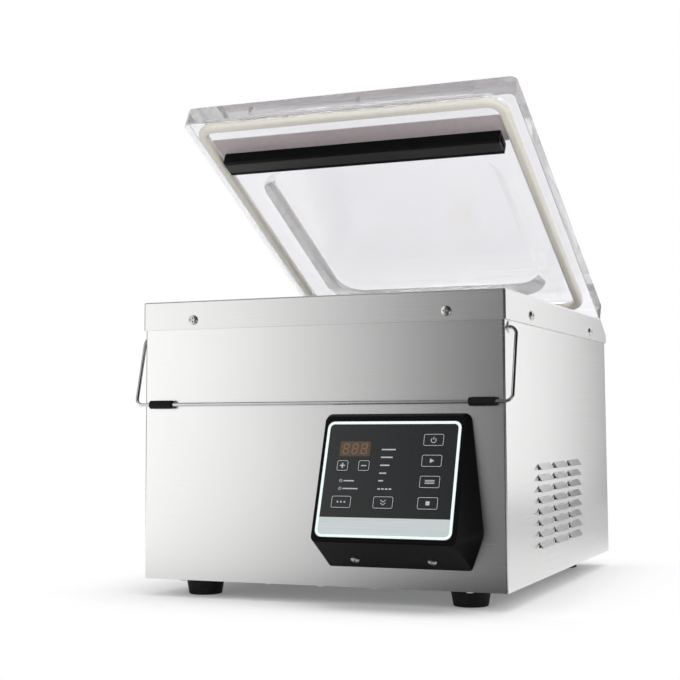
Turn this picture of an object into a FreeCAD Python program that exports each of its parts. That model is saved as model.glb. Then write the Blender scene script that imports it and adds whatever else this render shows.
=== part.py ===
import FreeCAD, Part
import math
import os

os.makedirs("parts", exist_ok=True)
Vec = FreeCAD.Vector

# Driving dimensions, in millimetres
# X runs across the machine, Y from front to back with 0 at the middle of the deck, Z up from the table

# Sheet metal case
COVER_WIDTH = 331.6
COVER_DEPTH = 395.6
COVER_TOP = 257.0
SKIRT_HEIGHT = 25.0
COVER_BEND = 2.0
BEVEL_RUN = 27.0
BEVEL_DROP = 16.0
SHEET = 1.2
SKIRT_PROUD = 1.5
BODY_BEND = 1.8
BODY_TOP = 250.0
FOOT_HEIGHT = 15.2
FLANGE = 18.0
RETURN = 14.0
TRAY_LIP = 12.0
TRAY_GAP = 0.3
TRAY_VENTS = 6
TRAY_VENT_SIZE = (60.0, 3.0)
TRAY_VENT_AT = (-85.0, -110.0)
TRAY_VENT_PITCH = 8.0
BEVEL_AIR = 0.8
REAR_SLOTS = 8
REAR_SLOT_X = (-118.0, 0.0)
REAR_SLOT_START_Z = 60.0
REAR_SLOT_PITCH = 10.0
REAR_SLOT_HEIGHT = 4.0
CABLE_HOLE_HALF = 30.0
CABLE_HOLE_Z = (75.0, 125.0)

# Screws: head radius, head height, shank radius and shank length; then their places
SCREW_SHANK = 1.9
SCREW_HOLE = 2.0
COVER_SCREW = (4.2, 2.2, SCREW_SHANK, 8.0)
BASE_SCREW = (3.6, 2.0, SCREW_SHANK, 5.0)
REAR_SCREW = (3.6, 2.0, SCREW_SHANK, 6.0)
BOX_SCREW = (3.8, 2.0, SCREW_SHANK, 6.0)
HINGE_SCREW = (3.6, 1.8, SCREW_SHANK, 6.0)
LID_LEAF_SCREW = (3.4, 1.6, SCREW_SHANK, 9.0)
BAR_SCREW = (3.6, 2.0, SCREW_SHANK, 12.0)
INLET_SCREW = (2.8, 1.6, 1.5, 8.0)
INLET_SCREW_HOLE = 1.6
COVER_SCREW_X = 116.0
COVER_SCREW_Y = 116.5
COVER_SCREW_DROP = 17.0
BASE_SCREW_INSET = 9.0
BASE_SCREW_X = (-130, -48, 0, 48, 130)
BASE_SCREW_Y = (-90, 0, 90)
REAR_SCREW_Z = (40, 120, 200)
BAR_SCREW_X = (-110, 0, 110)
BAR_SCREW_HOLE_DEPTH = 12.0
HINGE_SCREW_X = 13.0
HINGE_SCREW_ALONG = 24.0
LID_SCREW_X = 18.0
LID_SCREW_INSET = 5.0
BOX_SCREW_X = 33.0
BOX_SCREW_ALONG = 15.5

# Feet
FOOT_X = 122.5
FOOT_Y = 160.5
FOOT_TOP_RADIUS = 17.0
FOOT_BOTTOM_RADIUS = 14.7
FOOT_NECK = 10.0
FOOT_BORE = 6.0
FOOT_BORE_DEPTH = 8.0
FOOT_BOLT = 2.5
FOOT_BOLT_HOLE = 2.6
BOLT_HEAD = 4.6
BOLT_HEAD_HEIGHT = 2.8
BOLT_TIP = 26.0
NUT_RADIUS = 5.0
NUT_HEIGHT = 4.0

# Side louvres
LOUVRE_LENGTH = 42.0
LOUVRE_PITCH_Y = 56.0
LOUVRE_COLUMNS = 3
LOUVRE_START_Y = -97.0
LOUVRE_PITCH_Z = 9.5
LOUVRE_ROWS = 8
LOUVRE_START_Z = 42.0
LOUVRE_HEIGHT = 5.4
LOUVRE_REACH = 3.8

# Vacuum chamber
MOUTH_WIDTH = 280.0
MOUTH_DEPTH = 312.0
MOUTH_MID_Y = -8.0
MOUTH_CORNER = 24.0
CHAMBER_DEPTH = 70.0
CHAMBER_DRAFT = 4.0
PAN_EDGE = 10.0
PAN_FLANGE = 11.0
PORT_Y = 112.0
PORT_STUB = 6.0
PORT_BORE = 4.0
PORT_DROP = 16.0
PORT_CAP_RADIUS = 14.0
PORT_CAP_TOP_RADIUS = 11.0
PORT_CAP_HEIGHT = 9.0
PORT_CAP_SHOULDER = 6.5
PORT_CAP_ROOF = 6.0
PORT_SLOTS = 12

# Clear lid, shown open
LID_WIDTH = 320.0
LID_LENGTH = 382.4
LID_THICK = 19.8
LID_CORNER = 6.0
LID_EDGE = 1.2
LID_OPEN_DEG = 27.2
GASKET_STAND = 5.0
GASKET_WIDTH = 9.0
GASKET_MID_X = 146.0
GASKET_FRONT = 7.5
GASKET_REAR = 344.5
GASKET_CORNER = 14.0
GASKET_SEAT = 4.0
GASKET_LIP = 3.0
GASKET_AIR = 0.3
DOME_HALF = 121.0
DOME_FRONT = 80.0
DOME_REAR = 322.0
DOME_DEPTH = 9.0
DOME_SLOPE = 10.0
DOME_CORNER = 36.0
DOME_EDGE = 4.0

# Lid hinge
HINGE_BACKSET = 365.7
HINGE_FROM_BEVEL = 12.3
HINGE_BELOW = 6.0
HINGE_X = 95.0
HINGE_HALF = 26.0
KNUCKLE_RADIUS = 4.0
PIN_RADIUS = 2.0
LEAF = 1.6
FIT = 0.05
SPRING_WIRE = 1.2
SPRING_RADIUS = 3.2
SPRING_TURNS = 5
SPRING_PITCH = 1.75
SPRING_LEG = 7.0
SPRING_START = 1.4
FIXED_LEAF_START = 3.0
FIXED_LEAF_END = 29.0
FIXED_KNUCKLE_START = 20.0
LID_LEAF_START = 354.0
LID_LEAF_END = 379.0
LID_KNUCKLE_HALF = 8.0
PIN_END = 0.4
PIN_HEAD = 1.2
PIN_HEAD_HEIGHT = 1.4

# Press bar under the lid and seal bar in the chamber
BAR_HALF = 136.0
BAR_FRONT = 47.0
BAR_WIDTH = 20.0
BAR_DEPTH = 12.0
BACKING = 0.6
BACKING_FRONT = 26.0
BACKING_DEPTH = 36.0
SEAL_HALF = 129.0
SEAL_WIDTH = 14.0
SEAL_LIFT = 8.0
SEAL_GAP = 0.6
POST_X = 95.0
POST_RADIUS = 5.0
POST_DEPTH = 35.0
BAR_WALL = 2.2
BAR_LIP = 1.4
BAR_CHANNEL = 6.0
STRIP_AIR = 0.1
STRIP_SEAT = 3.4
STRIP_END = 0.5
LIFT_NECK = 9.0
LIFT_BODY = 16.0
LIFT_COLLAR = 13.0
LIFT_COLLAR_DEPTH = 8.0
LIFT_FLANGE = 14.0
LIFT_FLANGE_HEIGHT = 3.0
LIFT_DEPTH = 40.0
LIFT_END = 4.0
SEAL_TAPE = 0.3
SEAL_TAPE_DROP = 6.0
SEAL_TAPE_INSET = 4.0
SEAL_STRIP = 0.3
SEAL_STRIP_WIDTH = 5.0
SEAL_STRIP_DROP = 8.0
SEAL_BASE = 2.4
CARRIER_HEIGHT = 12.0
CARRIER_WEB = 5.0
CARRIER_WALL = 2.0

# Wire bail that hangs on the case front
BAIL_WIRE = 3.0
BAIL_HALF = 171.0
BAIL_PIVOT_Y = -184.0
BAIL_PIVOT_Z = 226.3
BAIL_DROP = 60.0
BAIL_BEND = 6.0
SLEEVE_RADIUS = 3.6
SLEEVE_LENGTH = 22.0
SLEEVE_X = 146.0
SLEEVE_GAP = 0.3
SLEEVE_EDGE = 0.8
BAIL_INSIDE = 6.0
BUSH_RADIUS = 3.5
BUSH_FLANGE = 5.2
BUSH_FACE = 4.6
BUSH_PROUD = 1.0
BUSH_DEPTH = 4.0

# Control box and its panel
BOX_MID_X = 73.15
PANEL_TOP_Y = -205.0
PANEL_TOP_Z = 151.0
PANEL_TILT_DEG = 19.2
PANEL_WIDTH = 115.8
PANEL_HEIGHT = 97.5
PANEL_THICK = 0.8
PANEL_CORNER = 5.0
BOX_WALL = 2.5
BOX_EDGE = 1.2
BOX_FRAME = 4.0
FACE_HALF = 61.0
FACE_ABOVE = 4.3
FACE_BELOW = 3.5
FACE_CORNER = 4.0
BASE_TOP_HALF = 62.9
BASE_TOP_Z = 157.0
BASE_WIDE_HALF = 72.0
BASE_WIDE_Z = 60.0
BASE_LOW_HALF = 61.5
BASE_LOW_Z = 31.8
BASE_TOP_CORNER = 6.0
BASE_WIDE_CORNER = 24.0
BASE_LOW_CORNER = 3.0
KEY_TRAVEL = 0.5
KEY_SLACK = 0.5
KEY_GAP = 0.3
KEY_FACE = 0.1
KEY_CAP = 1.5
KEY_CORNER = 1.6
KEY_EDGE = 0.3
KEY_STEM_RADIUS = 1.5
SNAP_RISE = 1.6
SNAP_RADIUS = 3.2
BOARD_OUT = -5.0
BOARD_THICK = 1.6
BOARD_INSET = 7.0
KEY_SIZE = (17.3, 10.3)
SMALL_KEY_SIZE = (10.0, 9.2)
KEY_COLUMN_X = 35.4
KEY_ROW_TOP = 16.1
KEY_ROW_PITCH = 17.4
MODE_KEY_X = -38.0
VACUUM_KEY_X = -2.0
PLUS_KEY_X = -40.6
MINUS_KEY_X = -22.0
SMALL_KEY_ROW = 37.9
WINDOW_SIZE = (26.8, 12.9)
WINDOW_AT = (-31.4, 23.6)
WINDOW_FIT = 0.1
DIGIT_BLOCK = (24.0, 11.0)

# Mains inlet at the back: width, height and corner cut of its outlines
INLET_X = 112.0
INLET_Z = 58.0
INLET_CASE = (27.0, 19.6, 5.0)
INLET_CASE_FIT = 0.2
INLET_DEPTH = 22.0
INLET_SOCKET = (24.0, 16.0, 4.0)
INLET_SOCKET_DEPTH = 16.0
INLET_BLADES = ((-7.0, -2.0), (0.0, 2.0), (7.0, -2.0))
INLET_BLADE_TIP = 4.0
INLET_FLANGE = (48.0, 23.0)
INLET_FLANGE_CORNER = 5.0
INLET_FLANGE_THICK = 3.0
INLET_EAR = 20.0

# Pump, transformer, valves and power board inside the case
PUMP_X = -70.0
PUMP_Y = 60.0
PUMP_Z = 82.0
MOTOR_RADIUS = 40.0
MOTOR_HALF = 55.0
MOTOR_RIBS = 7
MOTOR_RIB_PITCH = 10.0
HEAD_LENGTH = 48.0
HEAD_HALF_Z = 34.0
HEAD_FINS = 5
HEAD_FIN_PITCH = 5.0
MOUNT_HEIGHT = 12.0
MOUNT_X = (-40.0, 90.0)
MOUNT_Y = 34.0
HOSE_RADIUS = 8.5
HOSE_BEND = 12.0
TRANSFORMER_AT = (105.0, 95.0)
CORE_HALF_X = 38.0
CORE_HALF_Y = 18.0
CORE_HEIGHT = 64.0
CORE_YOKE = 13.0
CORE_LEG = 12.5
CORE_AIR = 0.1
COIL_SIZE = (49.0, 60.0)
VALVE_AT = ((70.0, -30.0), (70.0, 25.0))
VALVE_RAISE = 20.0
BOARD_AT = (-95.0, -125.0)
BOARD_HALF_X = 50.0
BOARD_HALF_Y = 38.0
BOARD_RAISE = 10.0
BOARD_POST_INSET = 5.0
BOARD_POST_RADIUS = 3.5

# Worked out from the driving dimensions
SKIRT_BOTTOM = COVER_TOP - SKIRT_HEIGHT
BODY_HALF = COVER_WIDTH / 2 - SKIRT_PROUD
BODY_FRONT = -COVER_DEPTH / 2 + SKIRT_PROUD
BODY_REAR = COVER_DEPTH / 2 - SKIRT_PROUD
FLOOR_Z = FOOT_HEIGHT + SHEET
TRAY_TOP = FLOOR_Z + SHEET
BEVEL_ANGLE = math.atan2(BEVEL_DROP, BEVEL_RUN)
BEVEL_START = COVER_DEPTH / 2 - BEVEL_RUN
PAN_FLOOR = COVER_TOP - CHAMBER_DEPTH
LID_UNDER = COVER_TOP + GASKET_STAND + GASKET_AIR
AXIS_Z = LID_UNDER - HINGE_BELOW
AXIS_Y = BEVEL_START + HINGE_FROM_BEVEL
LID_FRONT = AXIS_Y - HINGE_BACKSET
BAR_MID_Y = LID_FRONT + BAR_FRONT + BAR_WIDTH / 2
BAR_BOTTOM = LID_UNDER - BAR_DEPTH
SEAL_TOP = BAR_BOTTOM - SEAL_GAP - SEAL_LIFT
CARRIER_TOP = SEAL_TOP - SEAL_TAPE - SEAL_STRIP - SEAL_BASE
CARRIER_BOTTOM = CARRIER_TOP - CARRIER_HEIGHT
BAIL_BAR_Y = BODY_FRONT - SLEEVE_RADIUS - SLEEVE_GAP
BAIL_BAR_Z = BAIL_PIVOT_Z - BAIL_DROP
PANEL_TILT = math.radians(PANEL_TILT_DEG)
X_AXIS = Vec(1, 0, 0)
Z_AXIS = Vec(0, 0, 1)
nodes = {}


# General helpers

def box(x0, x1, y0, y1, z0, z1):
    return Part.makeBox(x1 - x0, y1 - y0, z1 - z0, Vec(x0, y0, z0))


def rod(radius, start, end):
    """Round bar between two points."""
    return Part.makeCylinder(radius, (end - start).Length, start, end - start)


def tube(outer, inner, start, end):
    return rod(outer, start, end).cut(rod(inner, start, end))


def corner_arc(before, corner, after, radius):
    """Start, middle and end of the arc that rounds the corner between two straight runs."""
    back = (before - corner).normalize()
    ahead = (after - corner).normalize()
    half = back.getAngle(ahead) / 2
    reach = radius / math.tan(half)
    middle = corner + (back + ahead).normalize() * (radius / math.sin(half) - radius)
    return corner + back * reach, middle, corner + ahead * reach


def rounded_outline(corners):
    """Edges of a closed outline on XY: straight sides joined by an arc at each corner (x, y, radius)."""
    points = [Vec(x, y, 0) for x, y, _ in corners]
    count = len(corners)
    arcs = []
    for i in range(count):
        arcs.append(corner_arc(points[i - 1], points[i], points[(i + 1) % count], corners[i][2]))
    edges = []
    for i in range(count):
        start, middle, end = arcs[i]
        edges.append(Part.Arc(start, middle, end).toShape())
        edges.append(Part.makeLine(end, arcs[(i + 1) % count][0]))
    return edges


def rounded_rectangle(width, depth, radius, mid_x=0.0, mid_y=0.0, z=0.0):
    corners = [
        (-width / 2, -depth / 2, radius),
        (width / 2, -depth / 2, radius),
        (width / 2, depth / 2, radius),
        (-width / 2, depth / 2, radius),
    ]
    wire = Part.Wire(rounded_outline(corners))
    wire.translate(Vec(mid_x, mid_y, z))
    return wire


def plate(width, depth, radius, z0, z1, mid_x=0.0, mid_y=0.0):
    """Flat plate with rounded corners."""
    face = Part.Face(rounded_rectangle(width, depth, radius, mid_x, mid_y, z0))
    return face.extrude(Vec(0, 0, z1 - z0))


def prism_x(outline, x0, x1):
    """Bar along X whose section is a closed polygon of (y, z) points."""
    points = [Vec(x0, y, z) for y, z in outline]
    face = Part.Face(Part.makePolygon(points + points[:1]))
    return face.extrude(Vec(x1 - x0, 0, 0))


def turned(outline):
    """Solid of revolution about Z from a closed polygon of (radius, z) points."""
    points = [Vec(r, 0, z) for r, z in outline]
    face = Part.Face(Part.makePolygon(points + points[:1]))
    return face.revolve(Vec(0, 0, 0), Z_AXIS, 360)


def edges_where(shape, test):
    return [edge for edge in shape.Edges if test(edge.BoundBox)]


def aimed(shape, point, direction):
    """Moves a shape modelled on +Z so that its origin is at the point and +Z points along the direction."""
    shape.Placement = FreeCAD.Placement(point, FreeCAD.Rotation(Z_AXIS, direction)).multiply(shape.Placement)
    return shape


def joined_path(points, radius):
    """Wire through the points: straight runs with a tangent arc of the radius at each inner point."""
    edges = []
    start = points[0]
    for before, corner, after in zip(points, points[1:], points[2:]):
        arc_start, middle, arc_end = corner_arc(before, corner, after, radius)
        edges.append(Part.makeLine(start, arc_start))
        edges.append(Part.Arc(arc_start, middle, arc_end).toShape())
        start = arc_end
    edges.append(Part.makeLine(start, points[-1]))
    return Part.Wire(edges)


def swept_round(path, radius):
    """Round bar or wire along a path."""
    first = path.Edges[0]
    start = first.valueAt(first.FirstParameter)
    along = first.tangentAt(first.FirstParameter)
    circle = Part.Wire(Part.makeCircle(radius, start, along))
    return path.makePipeShell([circle], True, False)


def screw(point, outward, head_radius, head_height, shank_radius, shank_length):
    """Pan head screw with a cross recess; the underside of its head is at the point."""
    solid = turned([
        (0, head_height),
        (head_radius * 0.5, head_height * 0.92),
        (head_radius * 0.85, head_height * 0.7),
        (head_radius, head_height * 0.35),
        (head_radius, 0),
        (shank_radius, 0),
        (shank_radius, -shank_length),
        (0, -shank_length),
    ])
    arm = head_radius * 0.55
    slot = head_radius * 0.12
    floor = head_height * 0.45
    solid = solid.cut(box(-arm, arm, -slot, slot, floor, head_height))
    solid = solid.cut(box(-slot, slot, -arm, arm, floor, head_height))
    return aimed(solid, point, outward)


def drilled(shape, points, outward, radius, depth=30.0):
    """Cuts round holes centred on the points, along the outward direction."""
    for point in points:
        shape = shape.cut(rod(radius, point - outward * depth, point + outward * depth))
    return shape


# Screw places, shared by the screws and the holes that they pass through

COVER_SCREW_Z = COVER_TOP - COVER_SCREW_DROP
skirt_x = COVER_WIDTH / 2
skirt_y = COVER_DEPTH / 2
cover_screw_places = {
    (0, -1, 0): [Vec(s * COVER_SCREW_X, -skirt_y, COVER_SCREW_Z) for s in (-1, 1)],
    (1, 0, 0): [Vec(skirt_x, s * COVER_SCREW_Y, COVER_SCREW_Z) for s in (-1, 1)],
    (-1, 0, 0): [Vec(-skirt_x, s * COVER_SCREW_Y, COVER_SCREW_Z) for s in (-1, 1)],
}
base_screw_places = [Vec(x, BODY_FRONT + BASE_SCREW_INSET, FOOT_HEIGHT) for x in BASE_SCREW_X]
for side in (-1, 1):
    for y in BASE_SCREW_Y:
        base_screw_places.append(Vec(side * (BODY_HALF - BASE_SCREW_INSET), y, FOOT_HEIGHT))
rear_screw_places = []
for side in (-1, 1):
    for z in REAR_SCREW_Z:
        rear_screw_places.append(Vec(side * (BODY_HALF - RETURN / 2), BODY_REAR, z))
foot_places = [Vec(sx * FOOT_X, sy * FOOT_Y, 0) for sx in (-1, 1) for sy in (-1, 1)]


# Case: base tray, folded wrap with lanced louvres, rear panel and skirted top cover

def louvre_flap(start_y, bottom_z):
    """Awning flap lanced out of the right-hand wall: hinged at its top edge, open below and at both ends."""
    top = bottom_z + LOUVRE_HEIGHT
    section = [
        Vec(BODY_HALF - SHEET, start_y, top),
        Vec(BODY_HALF, start_y, top),
        Vec(BODY_HALF + LOUVRE_REACH, start_y, bottom_z),
        Vec(BODY_HALF + LOUVRE_REACH - SHEET, start_y, bottom_z),
    ]
    face = Part.Face(Part.makePolygon(section + section[:1]))
    return face.extrude(Vec(0, LOUVRE_LENGTH, 0))


def above_bevel():
    """Everything above the underside of the cover's rear bevel, with a little air."""
    before, past, over = -10.0, 60.0, 20.0
    start = on_bevel(before, -SHEET - BEVEL_AIR)
    end = on_bevel(past, -SHEET - BEVEL_AIR)
    section = [(start.y, start.z), (end.y, end.z), (end.y, COVER_TOP + over)]
    return prism_x(section, -BODY_HALF - 1, BODY_HALF + 1)


def wrap_shell():
    """One sheet folded round the front and both sides, with bottom flanges and rear returns."""
    front, rear = BODY_FRONT, BODY_REAR - SHEET
    outer = Part.Wire(rounded_outline([
        (-BODY_HALF, front, BODY_BEND),
        (BODY_HALF, front, BODY_BEND),
        (BODY_HALF, rear, SHEET),
        (-BODY_HALF, rear, SHEET),
    ]))
    inner_width = 2 * (BODY_HALF - SHEET)
    inner_depth = rear - front - 2 * SHEET
    inner = rounded_rectangle(inner_width, inner_depth, BODY_BEND - SHEET, 0, (front + rear) / 2)
    outer.translate(Vec(0, 0, FOOT_HEIGHT))
    inner.translate(Vec(0, 0, FOOT_HEIGHT))
    height = Vec(0, 0, BODY_TOP - FOOT_HEIGHT)
    block = Part.Face(outer).extrude(height)
    hollow = Part.Face(inner).extrude(height)
    hollow.translate(Vec(0, 0, SHEET))
    wrap = block.cut(hollow)
    floor_hole = box(
        -BODY_HALF + FLANGE, BODY_HALF - FLANGE, front + FLANGE, rear - FLANGE, 0, FLOOR_Z + 1,
    )
    open_half = BODY_HALF - RETURN
    back_opening = box(-open_half, open_half, rear - FLANGE - 1, rear + 1, 0, BODY_TOP + 1)
    return wrap.cut(floor_hole).cut(back_opening)


def louvred(wrap):
    """The wrap with rows of louvres lanced out of both side walls."""
    slots = []
    flaps = []
    for column in range(LOUVRE_COLUMNS):
        for row in range(LOUVRE_ROWS):
            y = LOUVRE_START_Y + column * LOUVRE_PITCH_Y
            z = LOUVRE_START_Z + row * LOUVRE_PITCH_Z
            flap = louvre_flap(y, z)
            slot = box(BODY_HALF - SHEET - 1, BODY_HALF + 1, y, y + LOUVRE_LENGTH, z, z + LOUVRE_HEIGHT)
            for shape, group in ((flap, flaps), (slot, slots)):
                group.append(shape)
                group.append(shape.mirror(Vec(0, 0, 0), X_AXIS))
    return wrap.cut(Part.makeCompound(slots)).fuse(flaps)


def make_body_wrap():
    """Folded, louvred sheet with openings for the key cable, the bail bushes and the screws."""
    wrap = louvred(wrap_shell())
    x0, x1 = BOX_MID_X - CABLE_HOLE_HALF, BOX_MID_X + CABLE_HOLE_HALF
    wrap = wrap.cut(box(x0, x1, BODY_FRONT - 5, BODY_FRONT + 5, *CABLE_HOLE_Z))
    left = Vec(-BAIL_HALF, BAIL_PIVOT_Y, BAIL_PIVOT_Z)
    right = Vec(BAIL_HALF, BAIL_PIVOT_Y, BAIL_PIVOT_Z)
    wrap = wrap.cut(rod(BUSH_RADIUS, left, right))
    wrap = wrap.cut(above_bevel())
    for way, places in cover_screw_places.items():
        wrap = drilled(wrap, places, Vec(*way), SCREW_HOLE, 12.0)
    wrap = drilled(wrap, base_screw_places, Vec(0, 0, -1), SCREW_HOLE, 8.0)
    wrap = drilled(wrap, rear_screw_places, Vec(0, 1, 0), SCREW_HOLE, 8.0)
    return wrap


def make_base_plate():
    """Bottom tray: flat floor on the wrap's flanges with an upturned lip all round."""
    width = 2 * (BODY_HALF - SHEET - TRAY_GAP)
    front = BODY_FRONT + SHEET + TRAY_GAP
    rear = BODY_REAR - 2 * SHEET - TRAY_GAP
    rim = FLOOR_Z + TRAY_LIP
    mid = (front + rear) / 2
    outer = plate(width, rear - front, 2.0, FLOOR_Z, rim, 0, mid)
    inner = plate(width - 2 * SHEET, rear - front - 2 * SHEET, 1.0, TRAY_TOP, rim + 1, 0, mid)
    tray = outer.cut(inner)
    tray = drilled(tray, base_screw_places, Vec(0, 0, -1), SCREW_HOLE, 5.0)
    tray = drilled(tray, foot_places, Z_AXIS, FOOT_BOLT_HOLE)
    length, width = TRAY_VENT_SIZE
    x, start_y = TRAY_VENT_AT
    for row in range(TRAY_VENTS):
        y = start_y + row * TRAY_VENT_PITCH
        tray = tray.cut(plate(length, width, width / 2 - 0.1, 0, rim, x, y))
    return tray


def make_rubber_feet():
    """Tapered rubber feet with a rounded tread edge and a counterbore for the bolt."""
    feet = []
    for place in foot_places:
        outline = [
            (FOOT_BOLT_HOLE, FOOT_BORE_DEPTH),
            (FOOT_BORE, FOOT_BORE_DEPTH),
            (FOOT_BORE, 0.0),
            (FOOT_BOTTOM_RADIUS - 1.2, 0.0),
            (FOOT_BOTTOM_RADIUS - 0.3, 0.4),
            (FOOT_BOTTOM_RADIUS, 1.4),
            (FOOT_TOP_RADIUS, FOOT_HEIGHT),
            (FOOT_BOLT_HOLE, FOOT_HEIGHT),
        ]
        foot = turned(outline)
        spacer = tube(FOOT_NECK, FOOT_BOLT_HOLE, Vec(0, 0, FOOT_HEIGHT), Vec(0, 0, FLOOR_Z))
        foot = foot.fuse(spacer).removeSplitter()
        foot.translate(place)
        feet.append(foot)
    return feet


def make_foot_bolts():
    """Bolt up through each foot, with its nut on the tray."""
    bolts = []
    seat = FOOT_BORE_DEPTH
    low = seat - BOLT_HEAD_HEIGHT
    corners = []
    for k in range(7):
        angle = k * math.pi / 3
        corners.append(Vec(NUT_RADIUS * math.cos(angle), NUT_RADIUS * math.sin(angle), TRAY_TOP))
    for place in foot_places:
        bolt = turned([
            (0, low), (BOLT_HEAD, low), (BOLT_HEAD, seat),
            (FOOT_BOLT, seat), (FOOT_BOLT, BOLT_TIP), (0, BOLT_TIP),
        ])
        nut = Part.Face(Part.makePolygon(corners)).extrude(Vec(0, 0, NUT_HEIGHT))
        bolt = bolt.fuse(nut).removeSplitter()
        bolt.translate(place)
        bolts.append(bolt)
    return bolts


def make_rear_panel():
    """Flat back sheet with air slots and the cut-out for the mains inlet."""
    top = COVER_TOP - BEVEL_DROP - 2 * SHEET
    panel = plate(2 * BODY_HALF - 1.0, top - FLOOR_Z, 2.0, 0, SHEET)
    panel.rotate(Vec(0, 0, 0), X_AXIS, 90)
    panel.translate(Vec(0, BODY_REAR, (top + FLOOR_Z) / 2))
    for row in range(REAR_SLOTS):
        z = REAR_SLOT_START_Z + row * REAR_SLOT_PITCH
        panel = panel.cut(slot_y(*REAR_SLOT_X, z, REAR_SLOT_HEIGHT))
    panel = panel.cut(inlet_outline(INLET_CASE, BODY_REAR - 5, BODY_REAR + 5))
    panel = drilled(panel, inlet_ears(0.0), Vec(0, 1, 0), INLET_SCREW_HOLE, 8.0)
    return drilled(panel, rear_screw_places, Vec(0, 1, 0), SCREW_HOLE, 8.0)


def slot_y(x0, x1, z, height):
    """Cutter for a round-ended slot through the back sheet."""
    cutter = plate(x1 - x0, height, height / 2 - 0.01, -8, 8)
    cutter.rotate(Vec(0, 0, 0), X_AXIS, 90)
    cutter.translate(Vec((x0 + x1) / 2, BODY_REAR, z))
    return cutter


def cover_block(inset):
    """Skirted cover as a solid block with its rear bevel, every face moved in by the inset."""
    front = -COVER_DEPTH / 2 + inset
    rear = COVER_DEPTH / 2 - inset
    top = COVER_TOP - inset
    start = BEVEL_START - inset * math.tan(BEVEL_ANGLE / 2)
    low = top - (rear - start) * math.tan(BEVEL_ANGLE)
    bottom = SKIRT_BOTTOM - (1.0 if inset else 0.0)
    half = COVER_WIDTH / 2 - inset
    block = prism_x(
        [(front, bottom), (front, top), (start, top), (rear, low), (rear, bottom)], -half, half,
    )
    edges = edges_where(block, lambda b: b.ZMax > bottom + 1.0)
    return block.makeFillet(COVER_BEND - inset, edges)


def make_top_cover():
    """Top sheet with a skirt on four sides, a bevel at the back for the lid, and the chamber mouth."""
    cover = cover_block(0.0).cut(cover_block(SHEET))
    low, high = COVER_TOP - 10, COVER_TOP + 10
    mouth = plate(MOUTH_WIDTH + 1, MOUTH_DEPTH + 1, MOUTH_CORNER, low, high, 0, MOUTH_MID_Y)
    cover = cover.cut(mouth)
    for way, places in cover_screw_places.items():
        cover = drilled(cover, places, Vec(*way), SCREW_HOLE, 5.0)
    return drilled(cover, hinge_screw_places(), bevel_normal(), SCREW_HOLE, 6.0)


def make_chamber_pan():
    """Drawn pan with drafted walls, a rounded floor edge and a flange under the cover."""
    rim = COVER_TOP - SHEET

    def drawn(inset, floor):
        mouth = rounded_rectangle(
            MOUTH_WIDTH - 2 * inset, MOUTH_DEPTH - 2 * inset, MOUTH_CORNER - inset, 0, MOUTH_MID_Y, rim,
        )
        base = rounded_rectangle(
            MOUTH_WIDTH - 2 * (inset + CHAMBER_DRAFT),
            MOUTH_DEPTH - 2 * (inset + CHAMBER_DRAFT),
            MOUTH_CORNER - inset,
            0,
            MOUTH_MID_Y,
            floor,
        )
        block = Part.makeLoft([base, mouth], True, True)
        bottom = edges_where(block, lambda b: b.ZMax < floor + 0.01)
        return block.makeFillet(PAN_EDGE - inset, bottom)

    pan = drawn(0.0, PAN_FLOOR - SHEET)
    flange_width = MOUTH_WIDTH + 2 * PAN_FLANGE
    flange_depth = MOUTH_DEPTH + 2 * PAN_FLANGE
    flange = plate(flange_width, flange_depth, MOUTH_CORNER, rim - SHEET, rim, 0, MOUTH_MID_Y)
    pan = pan.fuse(flange).removeSplitter().cut(drawn(SHEET, PAN_FLOOR))
    holes = [Vec(s * POST_X, BAR_MID_Y, PAN_FLOOR) for s in (-1, 1)]
    pan = drilled(pan, holes, Z_AXIS, LIFT_NECK + FIT, 10.0)
    return drilled(pan, [Vec(0, PORT_Y, PAN_FLOOR)], Z_AXIS, PORT_STUB + FIT, 10.0)


def make_vacuum_port():
    """Suction fitting in the chamber floor: slotted cap, threaded neck and hose stub."""
    cap = turned([
        (0, PORT_CAP_HEIGHT),
        (PORT_CAP_TOP_RADIUS, PORT_CAP_HEIGHT),
        (PORT_CAP_RADIUS, PORT_CAP_SHOULDER),
        (PORT_CAP_RADIUS, 0),
        (PORT_BORE, 0),
        (PORT_BORE, PORT_CAP_ROOF),
        (0, PORT_CAP_ROOF),
    ])
    for k in range(PORT_SLOTS):
        slot = box(PORT_STUB, PORT_CAP_RADIUS + 2, -0.9, 0.9, 1.5, PORT_CAP_ROOF - 1)
        slot.rotate(Vec(0, 0, 0), Z_AXIS, k * 360 / PORT_SLOTS)
        cap = cap.cut(slot)
    neck = tube(PORT_STUB, PORT_BORE, Vec(0, 0, -PORT_DROP), Vec(0, 0, 0))
    port = cap.fuse(neck).removeSplitter()
    port.translate(Vec(0, PORT_Y, PAN_FLOOR))
    return port


# Hinge between the deck bevel and the lid

def bevel_normal():
    return Vec(0, math.sin(BEVEL_ANGLE), math.cos(BEVEL_ANGLE))


def on_bevel(along, above, x=0.0):
    """Point at a distance down the bevel from its top edge, and a height square to it."""
    y = BEVEL_START + along * math.cos(BEVEL_ANGLE) + above * math.sin(BEVEL_ANGLE)
    z = COVER_TOP - along * math.sin(BEVEL_ANGLE) + above * math.cos(BEVEL_ANGLE)
    return Vec(x, y, z)


def hinge_screw_places():
    places = []
    for side in (-1, 1):
        for dx in (-HINGE_SCREW_X, HINGE_SCREW_X):
            places.append(on_bevel(HINGE_SCREW_ALONG, 0, side * HINGE_X + dx))
    return places


def lid_screw_places():
    """Screws up through each lid leaf, in the closed lid."""
    places = []
    for side in (-1, 1):
        for dx in (-LID_SCREW_X, LID_SCREW_X):
            y = LID_FRONT + LID_LEAF_END - LID_SCREW_INSET
            places.append(Vec(side * HINGE_X + dx, y, LID_UNDER - LEAF))
    return places


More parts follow.
